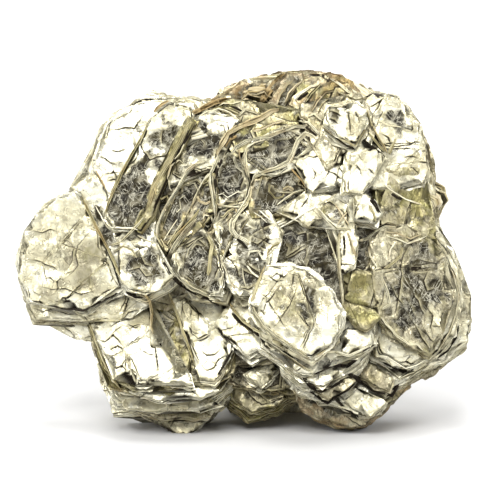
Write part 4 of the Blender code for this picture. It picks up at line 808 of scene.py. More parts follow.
def path_points(corners, step):
    """Points at about this distance along an open path."""
    points = [corners[:1]]
    for start, end in zip(corners, corners[1:]):
        count = max(1, round(float(np.linalg.norm(end - start)) / step))
        shares = np.arange(1, count + 1)[:, None] / count
        points.append(start + (end - start) * shares)
    return np.vstack(points)


def around(corners, step):
    """Points at about this distance along a closed outline."""
    return path_points(np.vstack((corners, corners[:1])), step)[:-1]


def frayed(path, fray):
    """A closed path whose points move outward from its middle by these distances."""
    middle = path.mean(axis=0)
    spokes = path - middle
    return middle + spokes * (1.0 + fray / np.linalg.norm(spokes, axis=1))[:, None]


def clipped(outline, way, limit):
    """The part of an outline that reaches no further than the limit along a way."""
    kept = []
    for here, ahead in zip(outline, np.roll(outline, -1, axis=0)):
        past_here, past_ahead = here @ way - limit, ahead @ way - limit
        if past_here <= 0.0:
            kept.append(here)
        if (past_here > 0.0) != (past_ahead > 0.0):
            kept.append(here + (ahead - here) * past_here / (past_here - past_ahead))
    return np.array(kept)


def triangulated(outline, points):
    """The points and triangles of a filled outline with points in it, and what each point was made from."""
    corners = [Vector(p) for p in np.vstack((outline, points))]
    made, _, faces, originals, _, _ = delaunay_2d_cdt(corners, [], [list(range(len(outline)))], 1, 1e-5, True)
    return np.array([tuple(p) for p in made]), faces, originals


# ---------------------------------------------------------------- the books' design

def ring_growths(thickness, ledges):
    """(inward distance, outward growth) of each ring of a book: its walls flare and its ledges step out."""
    rings = [(0.0, 0.0)]
    inward = growth = 0.0
    for share, width in ledges:
        growth += (share * thickness - inward) * WALL_FLARE
        inward = share * thickness
        rings.append((inward, growth))
        inward += LEDGE_SLOPE
        growth += width
        rings.append((inward, growth))
    rings.append((thickness, growth + (thickness - inward) * WALL_FLARE))
    return rings


def front_stack(number, name, look, depth, turn, tip, thickness, ledges, outline):
    """A front book, on its own leaning plane."""
    outline = pairs(outline)
    middle = outline.mean(axis=0)
    corners = outline - middle
    uneven = 1.0 + LEDGE_WAVER * np.sin(2.4 * np.arange(len(corners)) + 0.9 * middle[0])
    if signed_area(corners) < 0.0:
        corners, uneven = corners[::-1], uneven[::-1]
    uneven /= np.linalg.norm(corners, axis=1)
    rings = [(inward, corners * (1.0 + growth * uneven)[:, None])
             for inward, growth in ring_growths(thickness, ledges)]
    inward = (AWAY - turn * RIGHT - tip * UP) / math.sqrt(1.0 + turn * turn + tip * tip)
    fine = thickness if name.endswith(DEEP_BOOKS) else BOOK_FINE
    return Stack(name, LOOKS[look], number, RIGHT * middle[0] + UP * middle[1] + AWAY * depth,
                 RIGHT + turn * AWAY, UP + tip * AWAY, inward, rings, middle, fine, 1.0)


def crystal_corners(spun, reaches, number):
    """The corners of the hexagon whose sides stand at these distances from its centre."""
    angles = [math.radians(60.0 * k + spun + SIDE_TWIST * math.sin(4.1 * k + 2.2 * number))
              for k in range(SIDES)]
    corners = []
    for k in range(SIDES):
        one, two = angles[k], angles[(k + 1) % SIDES]
        reach_one, reach_two = reaches[k], reaches[(k + 1) % SIDES]
        sine = math.sin(two - one)
        corners.append(((reach_one * math.sin(two) - reach_two * math.sin(one)) / sine,
                        (reach_two * math.cos(one) - reach_one * math.cos(two)) / sine))
    return np.array(corners)


def crystal_stack(order, name, look, centre, looks, tipped, spun, reach, thickness, terraces, number):
    """A six-sided crystal on the sides, the top or the back."""
    turned, raised = math.radians(looks), math.radians(tipped)
    outward = np.array((math.sin(turned) * math.cos(raised), -math.cos(turned) * math.cos(raised),
                        math.sin(raised)))
    across = np.array((math.cos(turned), math.sin(turned), 0.0))
    first = [reach * (1.0 + SIDE_SPREAD * math.sin(2.6 * k + 4.3 * number)) for k in range(SIDES)]
    uneven = [1.0 + TERRACE_SPREAD * math.sin(1.9 * k + 3.3 * number) for k in range(SIDES)]
    rings = []
    for inward, growth in ring_growths(thickness, terraces):
        reaches = [first[k] + growth * uneven[k] for k in range(SIDES)]
        rings.append((inward, crystal_corners(spun, reaches, number)))
    return Stack(name, LOOKS[look], order, np.array(centre), across, np.cross(outward, across), -outward,
                 rings, np.zeros(2), CRYSTAL_FINE, CRYSTAL_COARSE)


# ---------------------------------------------------------------- the stepped edge of a stack

def sheet_levels(stack, rng):
    """Depths at which the stack's edge steps: thin sheets near its face, thick ones where it is buried."""
    thickness = stack.rings[-1][0]
    ledges = [ring[0] for ring in stack.rings[1:-1:2]]
    levels = [0.0]
    while levels[-1] < thickness:
        top = levels[-1]
        bottom = top + stack.coarse * rng.uniform(*(SHEET if top < stack.fine else BURIED_SHEET))
        for stop in ledges + [thickness]:
            if top < stop - 1e-6 and bottom > stop - SHEET[0]:
                bottom = stop
                break
        levels.append(bottom)
    return levels


def corners_at(stack, depth):
    """The stack's corners at this depth, between its rings."""
    for (above, near), (below, far) in zip(stack.rings, stack.rings[1:]):
        if depth <= below:
            share = (depth - above) / (below - above)
            return near * (1.0 - share) + far * share
    return stack.rings[-1][1]


def side_shares(corners, step):
    """(corner, share of the way to the next) for points along a closed outline."""
    ahead = np.roll(corners, -1, axis=0)
    picks = []
    for i, length in enumerate(np.linalg.norm(ahead - corners, axis=1)):
        count = max(1, round(float(length) / step))
        picks += [(i, j / count) for j in range(count)]
    return np.array([p[0] for p in picks]), np.array([p[1] for p in picks])


def broken_edge(outline, level, seed):
    """The edge of one sheet: long waves, angular teeth, small nicks, and bites where a piece is gone."""
    waves = noise(outline, WAVE_SIZE, 0, seed)
    own_teeth = noise(outline, TOOTH_SIZE, level, seed + 3)
    shared_teeth = noise(outline, TOOTH_SIZE, level // 3, seed + 4)
    teeth = 0.5 * own_teeth + 0.7 * shared_teeth
    teeth = np.round(teeth * 2.0 * TOOTH_STEPS) / (2.0 * TOOTH_STEPS)
    nicks = noise(outline, NICK_SIZE, level, seed + 1)
    bites = np.clip((noise(outline, BITE_SIZE, level // 2, seed + 2) - BITE_FROM) / BITE_SLOPE, 0.0, 1.0)
    shift = WAVE * waves + TOOTH * teeth + NICK * nicks - BITE * bites
    return outline * (1.0 + shift / np.linalg.norm(outline, axis=1))[:, None]


def tread_rows(before, outline, depth, tone, step):
    """The rows between a row and the next, which lies further out on a ledge."""
    gap = np.linalg.norm(outline - before.outline, axis=1).mean()
    count = int(gap / step)
    shares = [number / (count + 1) for number in range(1, count + 1)]
    return [Row(before.outline * (1 - share) + outline * share, before.depth * (1 - share) + depth * share,
                tone, 0.0, False) for share in shares]


def edge_rows(stack, rng):
    """The rings of points down the stack's edge: above each is a strip that is a sheet's wall, or a tread."""
    side, share = side_shares(stack.rings[-1][1], EDGE_STEP * stack.coarse)
    ahead = (side + 1) % len(stack.rings[0][1])
    levels = sheet_levels(stack, rng)
    rows = []
    for level, (top, bottom) in enumerate(zip(levels, levels[1:])):
        corners = corners_at(stack, top + max(0.5 * (bottom - top), LEDGE_SLOPE) if top > 0.0 else 0.0)
        outline = corners[side] * (1.0 - share)[:, None] + corners[ahead] * share[:, None]
        if top < stack.fine:
            outline = broken_edge(outline, level, stack.number * 100)
        waver = SHEET_WAVER if 0.0 < top < stack.fine else 0.0
        tone = rng.random()
        upper = top + waver * noise(outline, 2.0, level, stack.number)
        lower = bottom + waver * noise(outline, 2.0, level, stack.number + 50)
        if rows:
            rows += tread_rows(rows[-1], outline, upper, tone, TREAD_STEP * stack.coarse)
        rows.append(Row(outline, upper, tone, 0.0, False))
        # painted shade at the foot of each sheet's edge
        rows.append(Row(outline, lower, tone, WALL_FOOT_SHADE, True))
    return rows


# ---------------------------------------------------------------- broken edges on a face

def broken_sheets(stack, outline, first_way, rng):
    """The thinner sheets left on a face, or for a window the holes in them, one within the other."""
    window = stack.look.smoke > WINDOW_SMOKE
    sheet = outline * (HOLE_MARGIN if window else SHEET_MARGIN)
    edges = []
    for number in range(min(MOST_SHEETS, 1 + int(signed_area(outline) / SHEET_AREA))):
        for _ in range(rng.integers(1, 4)):
            turned = math.radians(first_way + 60.0 * rng.integers(6) + rng.normal(0.0, SHEET_SKEW))
            way = np.array((math.cos(turned), math.sin(turned)))
            reach = sheet @ way
            cut = rng.uniform(*CUT_SHARE) * (HOLE_CUT if window else 1.0)
            sheet = clipped(sheet, way, reach.max() - cut * (reach.max() - reach.min()))
        if signed_area(sheet) < LEAST_SHEET:
            break
        path = around(sheet, FLAKE_STEP)
        frays = noise(path, FRAY_SIZE, number, stack.number) + noise(path, 3.0 * FRAY_SIZE, number, 5)
        path = frayed(path, FRAY * frays)
        lift = rng.uniform(*SHEET_LIFT)
        if window:
            edges.append(Edge(path, True, -lift, stack.look.smoke * HOLE_SMOKE, 0.0))
        else:
            edges.append(Edge(path, True, lift, 0.0, 0.0))
        sheet = sheet.mean(axis=0) + (sheet - sheet.mean(axis=0)) * rng.uniform(*SHEET_SHRINK)
    return edges


def drawn_edges(stack):
    """The broken edges and the patches that are drawn on a front book."""
    edges = [Edge(path_points(pairs(path) - stack.middle, FLAKE_STEP), False, lift, 0.0, 1.0)
             for lift, path in CRACKS.get(stack.name, ())]
    for lift, smoke, corners in PATCHES.get(stack.name, ()):
        corners = pairs(corners) - stack.middle
        if signed_area(corners) < 0.0:
            corners = corners[::-1]
        path = around(corners, FLAKE_STEP)
        path = frayed(path, FRAY * noise(path, FRAY_SIZE, 0, stack.number + 9))
        edges.append(Edge(path, True, lift, smoke, 1.0))
    return edges


def flake_path(outline, first_way, rng):
    """Points along a flake's edge, which starts anywhere in an outline's box and bends now and then."""
    point = rng.uniform(outline.min(axis=0), outline.max(axis=0))
    way = first_way + 60.0 * rng.integers(6) + rng.normal(0.0, FLAKE_SKEW)
    path = [point]
    for _ in range(int(rng.uniform(*FLAKE_LENGTH) / FLAKE_STEP)):
        if rng.random() < FLAKE_TURN:
            way += rng.choice((-60.0, 60.0))
        way += rng.normal(0.0, FLAKE_BEND)
        point = point + FLAKE_STEP * np.array((math.cos(math.radians(way)), math.sin(math.radians(way))))
        path.append(point)
    return np.array(path)


def lifted_flakes(outline, first_way, rng):
    """Short broken edges of flakes that stand up a little; they mostly follow the crystal's own ways."""
    edges = []
    for _ in range(int(signed_area(outline) / FLAKE_AREA)):
        path = flake_path(outline, first_way, rng)
        kept = inside(path, outline) & (nearest(path, outline, True)[0] > FLAKE_MARGIN)
        length = len(path) if kept.all() else int(np.argmin(kept))
        if length >= FLAKE_POINTS:
            edges.append(Edge(path[:length], False, rng.uniform(*FLAKE_LIFT), 0.0, 0.0))
    return edges


def edge_points(edges, outline):
    """The points just above and just below the step at each broken edge on a face."""
    rows = [np.zeros((0, 2))]
    for edge in edges:
        if edge.closed:
            ahead = np.roll(edge.path, -1, axis=0) - np.roll(edge.path, 1, axis=0)
            path = edge.path
        else:
            ahead, path = edge.path[2:] - edge.path[:-2], edge.path[1:-1]
            rows.append(edge.path[[0, -1]])
        ahead = ahead / np.maximum(np.linalg.norm(ahead, axis=1), 1e-9)[:, None]
        aside = np.column_stack((-ahead[:, 1], ahead[:, 0])) * FLAKE_GAP
        rows += [path + aside, path - aside]
    rows = np.vstack(rows)
    return further(rows[inside(rows, outline)], outline, True, STEP_MARGIN)


def edge_relief(points, edges, seed):
    """(height, pale rim, painted shadow on the lower side, smoke) that the broken edges on a face give to its
    points.
    """
    height, rim, crack, smoke = np.zeros((4, len(points)))
    rim_and_shadow_strength = np.clip(0.55 + 0.9 * noise(points, 2.2, 0, seed), 0.0, 1.0)
    for edge in edges:
        distance, side, share = nearest(points, edge.path, edge.closed)
        strength = np.maximum(rim_and_shadow_strength, edge.strength)
        if edge.closed:
            within = inside(points, edge.path)
            height += np.where(within, edge.lift, 0.0)
            smoke += np.where(within, edge.smoke, 0.0)
            upper = within == (edge.lift > 0.0)
        else:
            upper = side > 0.0
            taper = np.sqrt(np.sin(math.pi * np.clip(share, 0.001, 0.999)))
            height += np.where(upper, edge.lift * taper * np.exp(-distance / FLAKE_REACH), 0.0)
            strength = taper * strength
        rim = np.maximum(rim, np.where(upper, strength * np.exp(-distance / RIM_FADE), 0.0))
        # painted shadow on the lower side of a lifted edge
        crack = np.maximum(crack, np.where(upper, 0.0, strength * np.exp(-distance / LIFT_SHADOW_FADE)))
    return height, rim, crack, smoke


# ---------------------------------------------------------------- the faces and the back of a stack

def spots_at(stack, points, kind):
    """How strongly the spots of one kind that are placed on a book colour these points of its face."""
    strength = np.zeros(len(points))
    for named, x, v, wide, high, value in SPOTS.get(stack.name, ()):
        if named == kind:
            away = (points + stack.middle - (x, v)) / (wide, high)
            strength += value * np.exp(-np.sum(away * away, axis=1) ** 2)
    return strength


def face_values(stack, points, outline, edges):
    """(height, values) of points on a stack's face."""
    distance = nearest(points, outline, True)[0]
    height, rim, crack, smoke = edge_relief(points, edges, stack.number)
    height += crease_relief(stack, points)
    smoke = PATCH_SMOKE * smoke + stack.look.smoke * np.clip((distance - SMOKE_FREE) / SMOKE_FADE, 0.0, 1.0)
    faint = 0.5 * np.clip(0.5 + noise(points, 3.0, 3, stack.number), 0.0, 1.0)
    values = {
        "rim": np.maximum(rim, faint * np.exp(-distance / RIM_FADE)),
        "crack": crack,
        "tone": np.zeros(len(points)),
    }
    for kind, plain in (("smoke", smoke), ("tint", stack.look.tint), ("brown", stack.look.brown)):
        values[kind] = np.clip(plain + spots_at(stack, points, kind), 0.0, 1.0)
    return height, values


def plain_values(look, count, crack=0.0, tone=0.0):
    """The values of points that show their book's own stains, and painted shade where it is given."""
    plain = {"smoke": 0.0, "tint": look.tint, "brown": look.brown, "rim": 0.0, "crack": crack, "tone": tone}
    return {name: np.full(count, plain[name]) for name in VALUES}


def face_shell(stack, outline, rng):
    """The stack's face, with what is broken on it."""
    first_way = rng.uniform(0.0, 60.0)
    edges = drawn_edges(stack)
    if stack.name not in PATCHES:
        edges += broken_sheets(stack, outline, first_way, rng)
    edges += lifted_flakes(outline, first_way, rng)
    step = FACE_STEP * stack.coarse
    grid = hexagonal_grid(outline, step, 0.55 * step, rng)
    for edge in edges:
        grid = further(grid, edge.path, edge.closed, 0.5 * step)
    points, triangles, originals = triangulated(outline, np.vstack((edge_points(edges, outline), grid)))
    height, values = face_values(stack, points, outline, edges)
    rim = np.zeros(len(outline), int)
    for made, from_these in enumerate(originals):
        for origin in from_these:
            if origin < len(outline):
                rim[origin] = made
    return Face(points, height, values, triangles, rim)


def back_shell(outline, rng):
    """The points within a stack's last ring, and its triangles, which number the ring's points first."""
    grid = hexagonal_grid(outline, BACK_STEP, 0.5 * BACK_STEP, rng)
    points, faces, originals = triangulated(outline, grid)
    numbers, inner = [], []
    for made, from_these in enumerate(originals):
        on_ring = [origin for origin in from_these if origin < len(outline)]
        if on_ring:
            numbers.append(on_ring[0])
        else:
            numbers.append(len(outline) + len(inner))
            inner.append(made)
    return points[inner], [[numbers[corner] for corner in reversed(face)] for face in faces]


# ---------------------------------------------------------------- whole shells

class Shells:
    """The points, triangles and named values of the closed shells that make up one piece."""

    def __init__(self):
        self.points, self.triangles, self.walls, self.grain = [], [], [], []
        self.values = {name: [] for name in VALUES}
        self.count = 0

    def add(self, points, triangles, walls, grain, values):
        self.points.append(points)
        self.walls += walls
        self.triangles.append(np.array(triangles) + self.count)
        self.grain.append(grain)
        for name in VALUES:
            self.values[name].append(values[name])
        self.count += len(points)


def strip(near, far):
    """Triangles between two rings, each given by the numbers of its points."""
    near_ahead, far_ahead = np.roll(near, -1), np.roll(far, -1)
    return list(zip(near, far, far_ahead)) + list(zip(near, far_ahead, near_ahead))


def stack_triangles(face, below, back):
    """(triangles, walls) of a stack: its face, a strip for each row below it, and its back."""
    count = len(face.rim)
    triangles, walls = [tuple(f) for f in face.triangles], [0.0] * len(face.triangles)
    near = face.rim
    for number, row in enumerate(below):
        far = len(face.points) + number * count + np.arange(count)
        triangles += strip(near, far)
        walls += [float(row.wall)] * (2 * count)
        near = far
    triangles += [tuple(near[0] + corner for corner in f) for f in back]
    return triangles, walls + [0.0] * len(back)


def add_stack(shells, stack):
    """Adds a stack to a piece: its face, its stepped edge and its back, as one closed shell."""
    rng = np.random.default_rng(stack.number)
    rows = edge_rows(stack, rng)
    below = rows[1:]
    face = face_shell(stack, rows[0].outline, rng)
    inner, back = back_shell(rows[-1].outline, rng)
    triangles, walls = stack_triangles(face, below, back)

    flat = np.vstack([face.points] + [row.outline for row in below] + [inner])
    depth = np.concatenate([0.0 - face.height]
                           + [row.depth - crease_relief(stack, row.outline) for row in below]
                           + [rows[-1].depth.mean() - crease_relief(stack, inner)])
    parts = [face.values] + [plain_values(stack.look, len(row.outline), row.crack, row.tone) for row in below]
    parts.append(plain_values(stack.look, len(inner)))
    values = {name: np.concatenate([part[name] for part in parts]) for name in VALUES}
    points = (stack.origin + flat[:, :1] * stack.across + flat[:, 1:] * stack.along
              + depth[:, None] * stack.inward - ORIGIN) * MM
    grain = np.column_stack((flat + 17.3 * stack.number, depth))
    shells.add(points, triangles, walls, grain, values)


# ---------------------------------------------------------------- sheets that stand on edge

def draped(surface, path):
    """How deep the surface lies behind each point of a path, taken smoothly along it."""
    depths = []
    for x, v in path:
        start = Vector((RIGHT * x + UP * v + AWAY * DRAPE_FROM - ORIGIN) * MM)
        hit = surface.ray_cast(start, Vector(AWAY))[3]
        depths.append(np.nan if hit is None else hit / MM + DRAPE_FROM)
    depths = np.array(depths)
    known = ~np.isnan(depths)
    every = np.arange(len(depths))
    depths = np.interp(every, every[known], depths[known])
    padded = np.pad(depths, DRAPE_SMOOTH, mode="edge")
    windows = np.stack([padded[i:i + len(depths)] for i in range(2 * DRAPE_SMOOTH + 1)])
    return 0.5 * (windows.mean(axis=0) + windows.min(axis=0))


def ridge_profile(width, height, rng):
    """(offset, height, painted shade) across a ridge of thin sheets with a groove between each two, the shade
    painted at each groove's bottom.
    """
    count = max(1, round(width / LAMINA))
    edges = np.linspace(-0.5, 0.5, count + 1) * width
    profile = [(edges[0], -RIDGE_ROOT, 0.0)]
    falls = rng.random() < 0.5
    for number, (left, right) in enumerate(zip(edges, edges[1:])):
        share = (number + 0.5) / count
        fall = RIDGE_FALL * (share if falls else 1.0 - share)
        top = RIDGE_LOW * height * (1.0 - fall) * rng.uniform(0.85, 1.1)
        if number:
            profile.append((left, top - GROOVE, 1.0))
        lean = rng.uniform(-RIDGE_LEAN, RIDGE_LEAN)
        profile += [(left + GROOVE_HALF, top + lean, 0.0), (right - GROOVE_HALF, top - lean, 0.0)]
    profile.append((edges[-1], -RIDGE_ROOT, 0.0))
    return np.array(profile)


def swept_triangles(count, across):
    """The triangles of a profile of so many points that is swept along a path, with its ends closed."""
    triangles = []
    for i in range(count - 1):
        for j in range(across):
            here, beside = i * across + j, i * across + (j + 1) % across
            triangles += [(here, beside, beside + across), (here, beside + across, here + across)]
    last = (count - 1) * across
    triangles += [(0, j + 1, j) for j in range(1, across - 1)]
    triangles += [(last, last + j, last + j + 1) for j in range(1, across - 1)]
    return triangles


def signed_volume(points, triangles):
    one, two, three = (points[np.array(triangles)[:, k]] for k in range(3))
    return float(np.sum(one * np.cross(two, three)))


def ridge_section(path, number, profile):
    """(offsets, heights) of the profile's points at each point of a ridge's path, uneven and ragged."""
    outward = np.abs(2.0 * np.linspace(0.0, 1.0, len(path)) - 1.0)
    taper = 1.0 - outward ** 6
    taper *= 1.0 + RIDGE_UNEVEN * noise(path, 2.2, number, 33)
    every = range(len(profile))
    ragged = np.stack([noise(path, 1.1, 40 * number + k // 3, 35) for k in every], axis=1)
    offsets = RIDGE_SLIM * taper[:, None] * profile[None, :, 0] + RAGGED * ragged
    rough = np.stack([noise(path, 0.9, 40 * number + k, 34) for k in every], axis=1)
    above = profile[None, :, 1] > 0.0
    heights = profile[None, :, 1] * np.where(above, taper[:, None], 1.0)
    heights = heights + np.where(above, RIDGE_ROUGH * rough, 0.0)
    heights -= END_SINK * (outward ** 12)[:, None]
    return offsets, heights


def add_ridge(shells, surface, number, look, width, height, path):
    """A bundle of thin sheets that stands on edge along a path and rides on the surface behind it."""
    path = path_points(pairs(path), RIDGE_STEP)
    depth = draped(surface, path)
    path = path + RIDGE_WANDER * np.column_stack((noise(path, 1.6, number, 31), noise(path, 1.6, number, 32)))
    ahead = np.gradient(path, axis=0)
    ahead /= np.linalg.norm(ahead, axis=1)[:, None]
    aside = np.column_stack((-ahead[:, 1], ahead[:, 0]))
    profile = ridge_profile(width, height, np.random.default_rng(RIDGE_SEED + number))
    offsets, heights = ridge_section(path, number, profile)
    flat = path[:, None, :] + offsets[:, :, None] * aside[:, None, :]
    deep = depth[:, None] - heights
    points = (flat[:, :, :1] * RIGHT + flat[:, :, 1:] * UP + deep[:, :, None] * AWAY - ORIGIN) * MM
    points = points.reshape(-1, 3)

    count, across = offsets.shape
    triangles = swept_triangles(count, across)
    if signed_volume(points, triangles) < 0.0:
        triangles = [(a, c, b) for a, b, c in triangles]
    length = np.repeat(np.arange(count) * RIDGE_STEP, across)
    grain = np.column_stack((length, deep.ravel(), offsets.ravel() + 7.7 * number))
    standing = RIDGE_LOOKS[look]
    values = plain_values(standing, count * across, tone=standing.tone)
    # painted shade: a band of look dark is painted shadow all over, other bundles only at the bottoms of
    # their grooves
    values["crack"] = np.ones(count * across) if look == "dark" else np.tile(profile[:, 2], count)
    shells.add(points, triangles, [1.0] * len(triangles), grain, values)


# ---------------------------------------------------------------- meshes

def cut_at_floor(mesh):
    """Cuts away what reaches below the level that the cluster rests on, and closes the cut."""
    bm = bmesh.new()
    bm.from_mesh(mesh)
    cut = bmesh.ops.bisect_plane(bm, geom=bm.verts[:] + bm.edges[:] + bm.faces[:], plane_co=(0, 0, 0),
                                 plane_no=(0, 0, 1), clear_inner=True)
    rims = [e for e in cut["geom_cut"] if isinstance(e, bmesh.types.BMEdge)]
    bmesh.ops.triangle_fill(bm, use_beauty=True, edges=rims)
    bm.to_mesh(mesh)
    bm.free()


def shells_mesh(name, shells):
    """The mesh of the shells' points, triangles and values."""
    points, triangles = np.vstack(shells.points), np.vstack(shells.triangles)
    mesh = bpy.data.meshes.new(name)
    mesh.vertices.add(len(points))
    mesh.vertices.foreach_set("co", points.ravel())
    mesh.loops.add(triangles.size)
    mesh.loops.foreach_set("vertex_index", triangles.ravel())
    mesh.polygons.add(len(triangles))
    mesh.polygons.foreach_set("loop_start", np.arange(0, triangles.size, 3))
    mesh.polygons.foreach_set("use_smooth", np.ones(len(triangles), bool))
    mesh.update(calc_edges=True)
    for value in VALUES:
        layer = mesh.attributes.new(value, "FLOAT", "POINT")
        layer.data.foreach_set("value", np.concatenate(shells.values[value]))
    layer = mesh.attributes.new("wall", "FLOAT", "FACE")
    layer.data.foreach_set("value", shells.walls)
    layer = mesh.attributes.new("grain", "FLOAT_VECTOR", "POINT")
    layer.data.foreach_set("vector", np.vstack(shells.grain).ravel())
    if points[:, 2].min() < 0.0:
        cut_at_floor(mesh)
    mesh.set_sharp_from_angle(angle=math.radians(SHARP_ANGLE))
    return mesh


def stacks_mesh(name, stacks):
    """One mesh of several stacks."""
    shells = Shells()
    for stack in stacks:
        add_stack(shells, stack)
    return shells_mesh(name, shells)


def ridges_mesh(name, surface):
    """One mesh of the sheets that stand on edge on the front books, and of the bands of painted shadow laid
    like them.
    """
    shells = Shells()
    for number, ridge in enumerate(RIDGES):
        add_ridge(shells, surface, number, *ridge)
    return shells_mesh(name, shells)


def surface_of(meshes):
    """The surface of several meshes, for rays to be cast at."""
    points, triangles, count = [], [], 0
    for mesh in meshes:
        places = np.zeros(3 * len(mesh.vertices), np.float32)
        mesh.vertices.foreach_get("co", places)
        points.append(places.reshape(-1, 3))
        triangles += [[v + count for v in face.vertices] for face in mesh.polygons]
        count += len(mesh.vertices)
    return BVHTree.FromPolygons(np.vstack(points).tolist(), triangles)


# ---------------------------------------------------------------- material

class Nodes:
    """Short ways to add and join the nodes of one material."""

    def __init__(self, name):
        self.material = bpy.data.materials.new(name)
        self.material.use_nodes = True
        self.tree = self.material.node_tree
        self.shader = self.tree.nodes["Principled BSDF"]

    def add(self, kind, inputs=(), **settings):
        """A new node; inputs are (socket, value or another node's socket)."""
        node = self.tree.nodes.new(kind)
        for name, value in settings.items():
            setattr(node, name, value)
        for socket, value in dict(inputs).items():
            self.set(node.inputs[socket], value)
        return node

    def set(self, socket, value):
        if isinstance(value, bpy.types.NodeSocket):
            self.tree.links.new(value, socket)
        else:
            socket.default_value = value

    def attribute(self, name, output="Fac"):
        return self.add("ShaderNodeAttribute", attribute_name=name).outputs[output]

    def math(self, operation, one, two=0.0):
        return self.add("ShaderNodeMath", {0: one, 1: two}, operation=operation).outputs[0]

    def scaled(self, value, factor):
        return self.math("MULTIPLY", value, factor)

    def vector(self, operation, one, two):
        return self.add("ShaderNodeVectorMath", {0: one, 1: two}, operation=operation).outputs[0]

    def between(self, value, low, high, start=0.0, end=1.0):
        """start where the value is low, end where it is high, and smooth in between."""
        inputs = {"Value": value, "From Min": low, "From Max": high, "To Min": start, "To Max": end}
        return self.add("ShaderNodeMapRange", inputs, interpolation_type="SMOOTHSTEP").outputs["Result"]

    def mix(self, share, one, two):
        """One colour where the share is 0, and two where it is 1; each is a socket or three numbers."""
        node = self.add("ShaderNodeMix", data_type="RGBA")
        self.set(node.inputs[0], share)
        for index, colour in ((6, one), (7, two)):
            self.set(node.inputs[index], (*colour, 1.0) if isinstance(colour, tuple) else colour)
        return node.outputs[2]

    def noise(self, place, scale, detail=2.0, output="Fac"):
        node = self.add("ShaderNodeTexNoise", {"Vector": place, "Scale": scale, "Detail": detail})
        return node.outputs[output]

    def contour(self, place, scale, detail, width):
        """1 on the lines where a noise passes its middle level, 0 away from them."""
        away = self.math("ABSOLUTE", self.math("SUBTRACT", self.noise(place, scale, detail), 0.5))
        return self.between(away, 0.0, width, 1.0, 0.0)

    def drawn_out(self, place, degrees, length, width):
        """Coordinates in which a noise is this long along a way across the face, and this wide."""
        inputs = {
            "Vector": place,
            "Location": (degrees, 0.0, 0.0),
            "Rotation": (0.0, 0.0, math.radians(degrees)),
            "Scale": (length, width, width),
        }
        return self.add("ShaderNodeMapping", inputs, vector_type="TEXTURE").outputs[0]

    def ramp(self, value, stops):
        node = self.add("ShaderNodeValToRGB", {"Fac": value})
        elements = node.color_ramp.elements
        while len(elements) < len(stops):
            elements.new(0.5)
        for element, (position, colour) in zip(elements, stops):
            element.position = position
            element.color = (*colour, 1.0)
        return node.outputs["Color"]


SILVER = (0.86, 0.83, 0.66)
PEARL = (0.66, 0.62, 0.43)
CHAMPAGNE = (0.44, 0.40, 0.27)
OLIVE = (0.25, 0.23, 0.09)
RUST = (0.30, 0.18, 0.075)
SMOKE = (0.009, 0.007, 0.004)
MURK = (0.036, 0.029, 0.012)
ASH = (0.24, 0.22, 0.155)
VEIN = (0.64, 0.61, 0.48)
EDGE_DARK = (0.05, 0.036, 0.015)
EDGE_OLIVE = (0.24, 0.20, 0.09)
EDGE_CREAM = (0.62, 0.56, 0.34)
EDGE_PALE = (0.88, 0.84, 0.64)
EDGE_GREEN = (0.36, 0.33, 0.15)
EDGE_GOLD = (0.42, 0.27, 0.10)
# colour of the painted shade in grooves, below lifted edges, on the dark bands and in hollows
PAINTED_SHADE_DARK = (0.02, 0.014, 0.007)
FACE_STOPS = ((0.0, SILVER), (0.28, PEARL), (0.55, CHAMPAGNE), (1.0, OLIVE))
WALL_STOPS = ((0.32, EDGE_DARK), (0.44, EDGE_OLIVE), (0.56, EDGE_CREAM), (0.76, EDGE_PALE))
FLOOR_GREY = (0.66, 0.66, 0.66)
WARP_REACH = 1.6                # how far, in mm, the patterns are bent
FIBRE_WAYS = (12.0, 65.0, 128.0)
FIBRE_LENGTH, FIBRE_WIDTH = 9.0, 0.9
HAIR_WAY, HAIR_LENGTH, HAIR_WIDTH = 98.0, 8.0, 0.8
PAINTED_SHADE_REACH = 0.0022           # metres within which hollows get painted shade
BUMP_HEIGHT = 0.00012           # metres


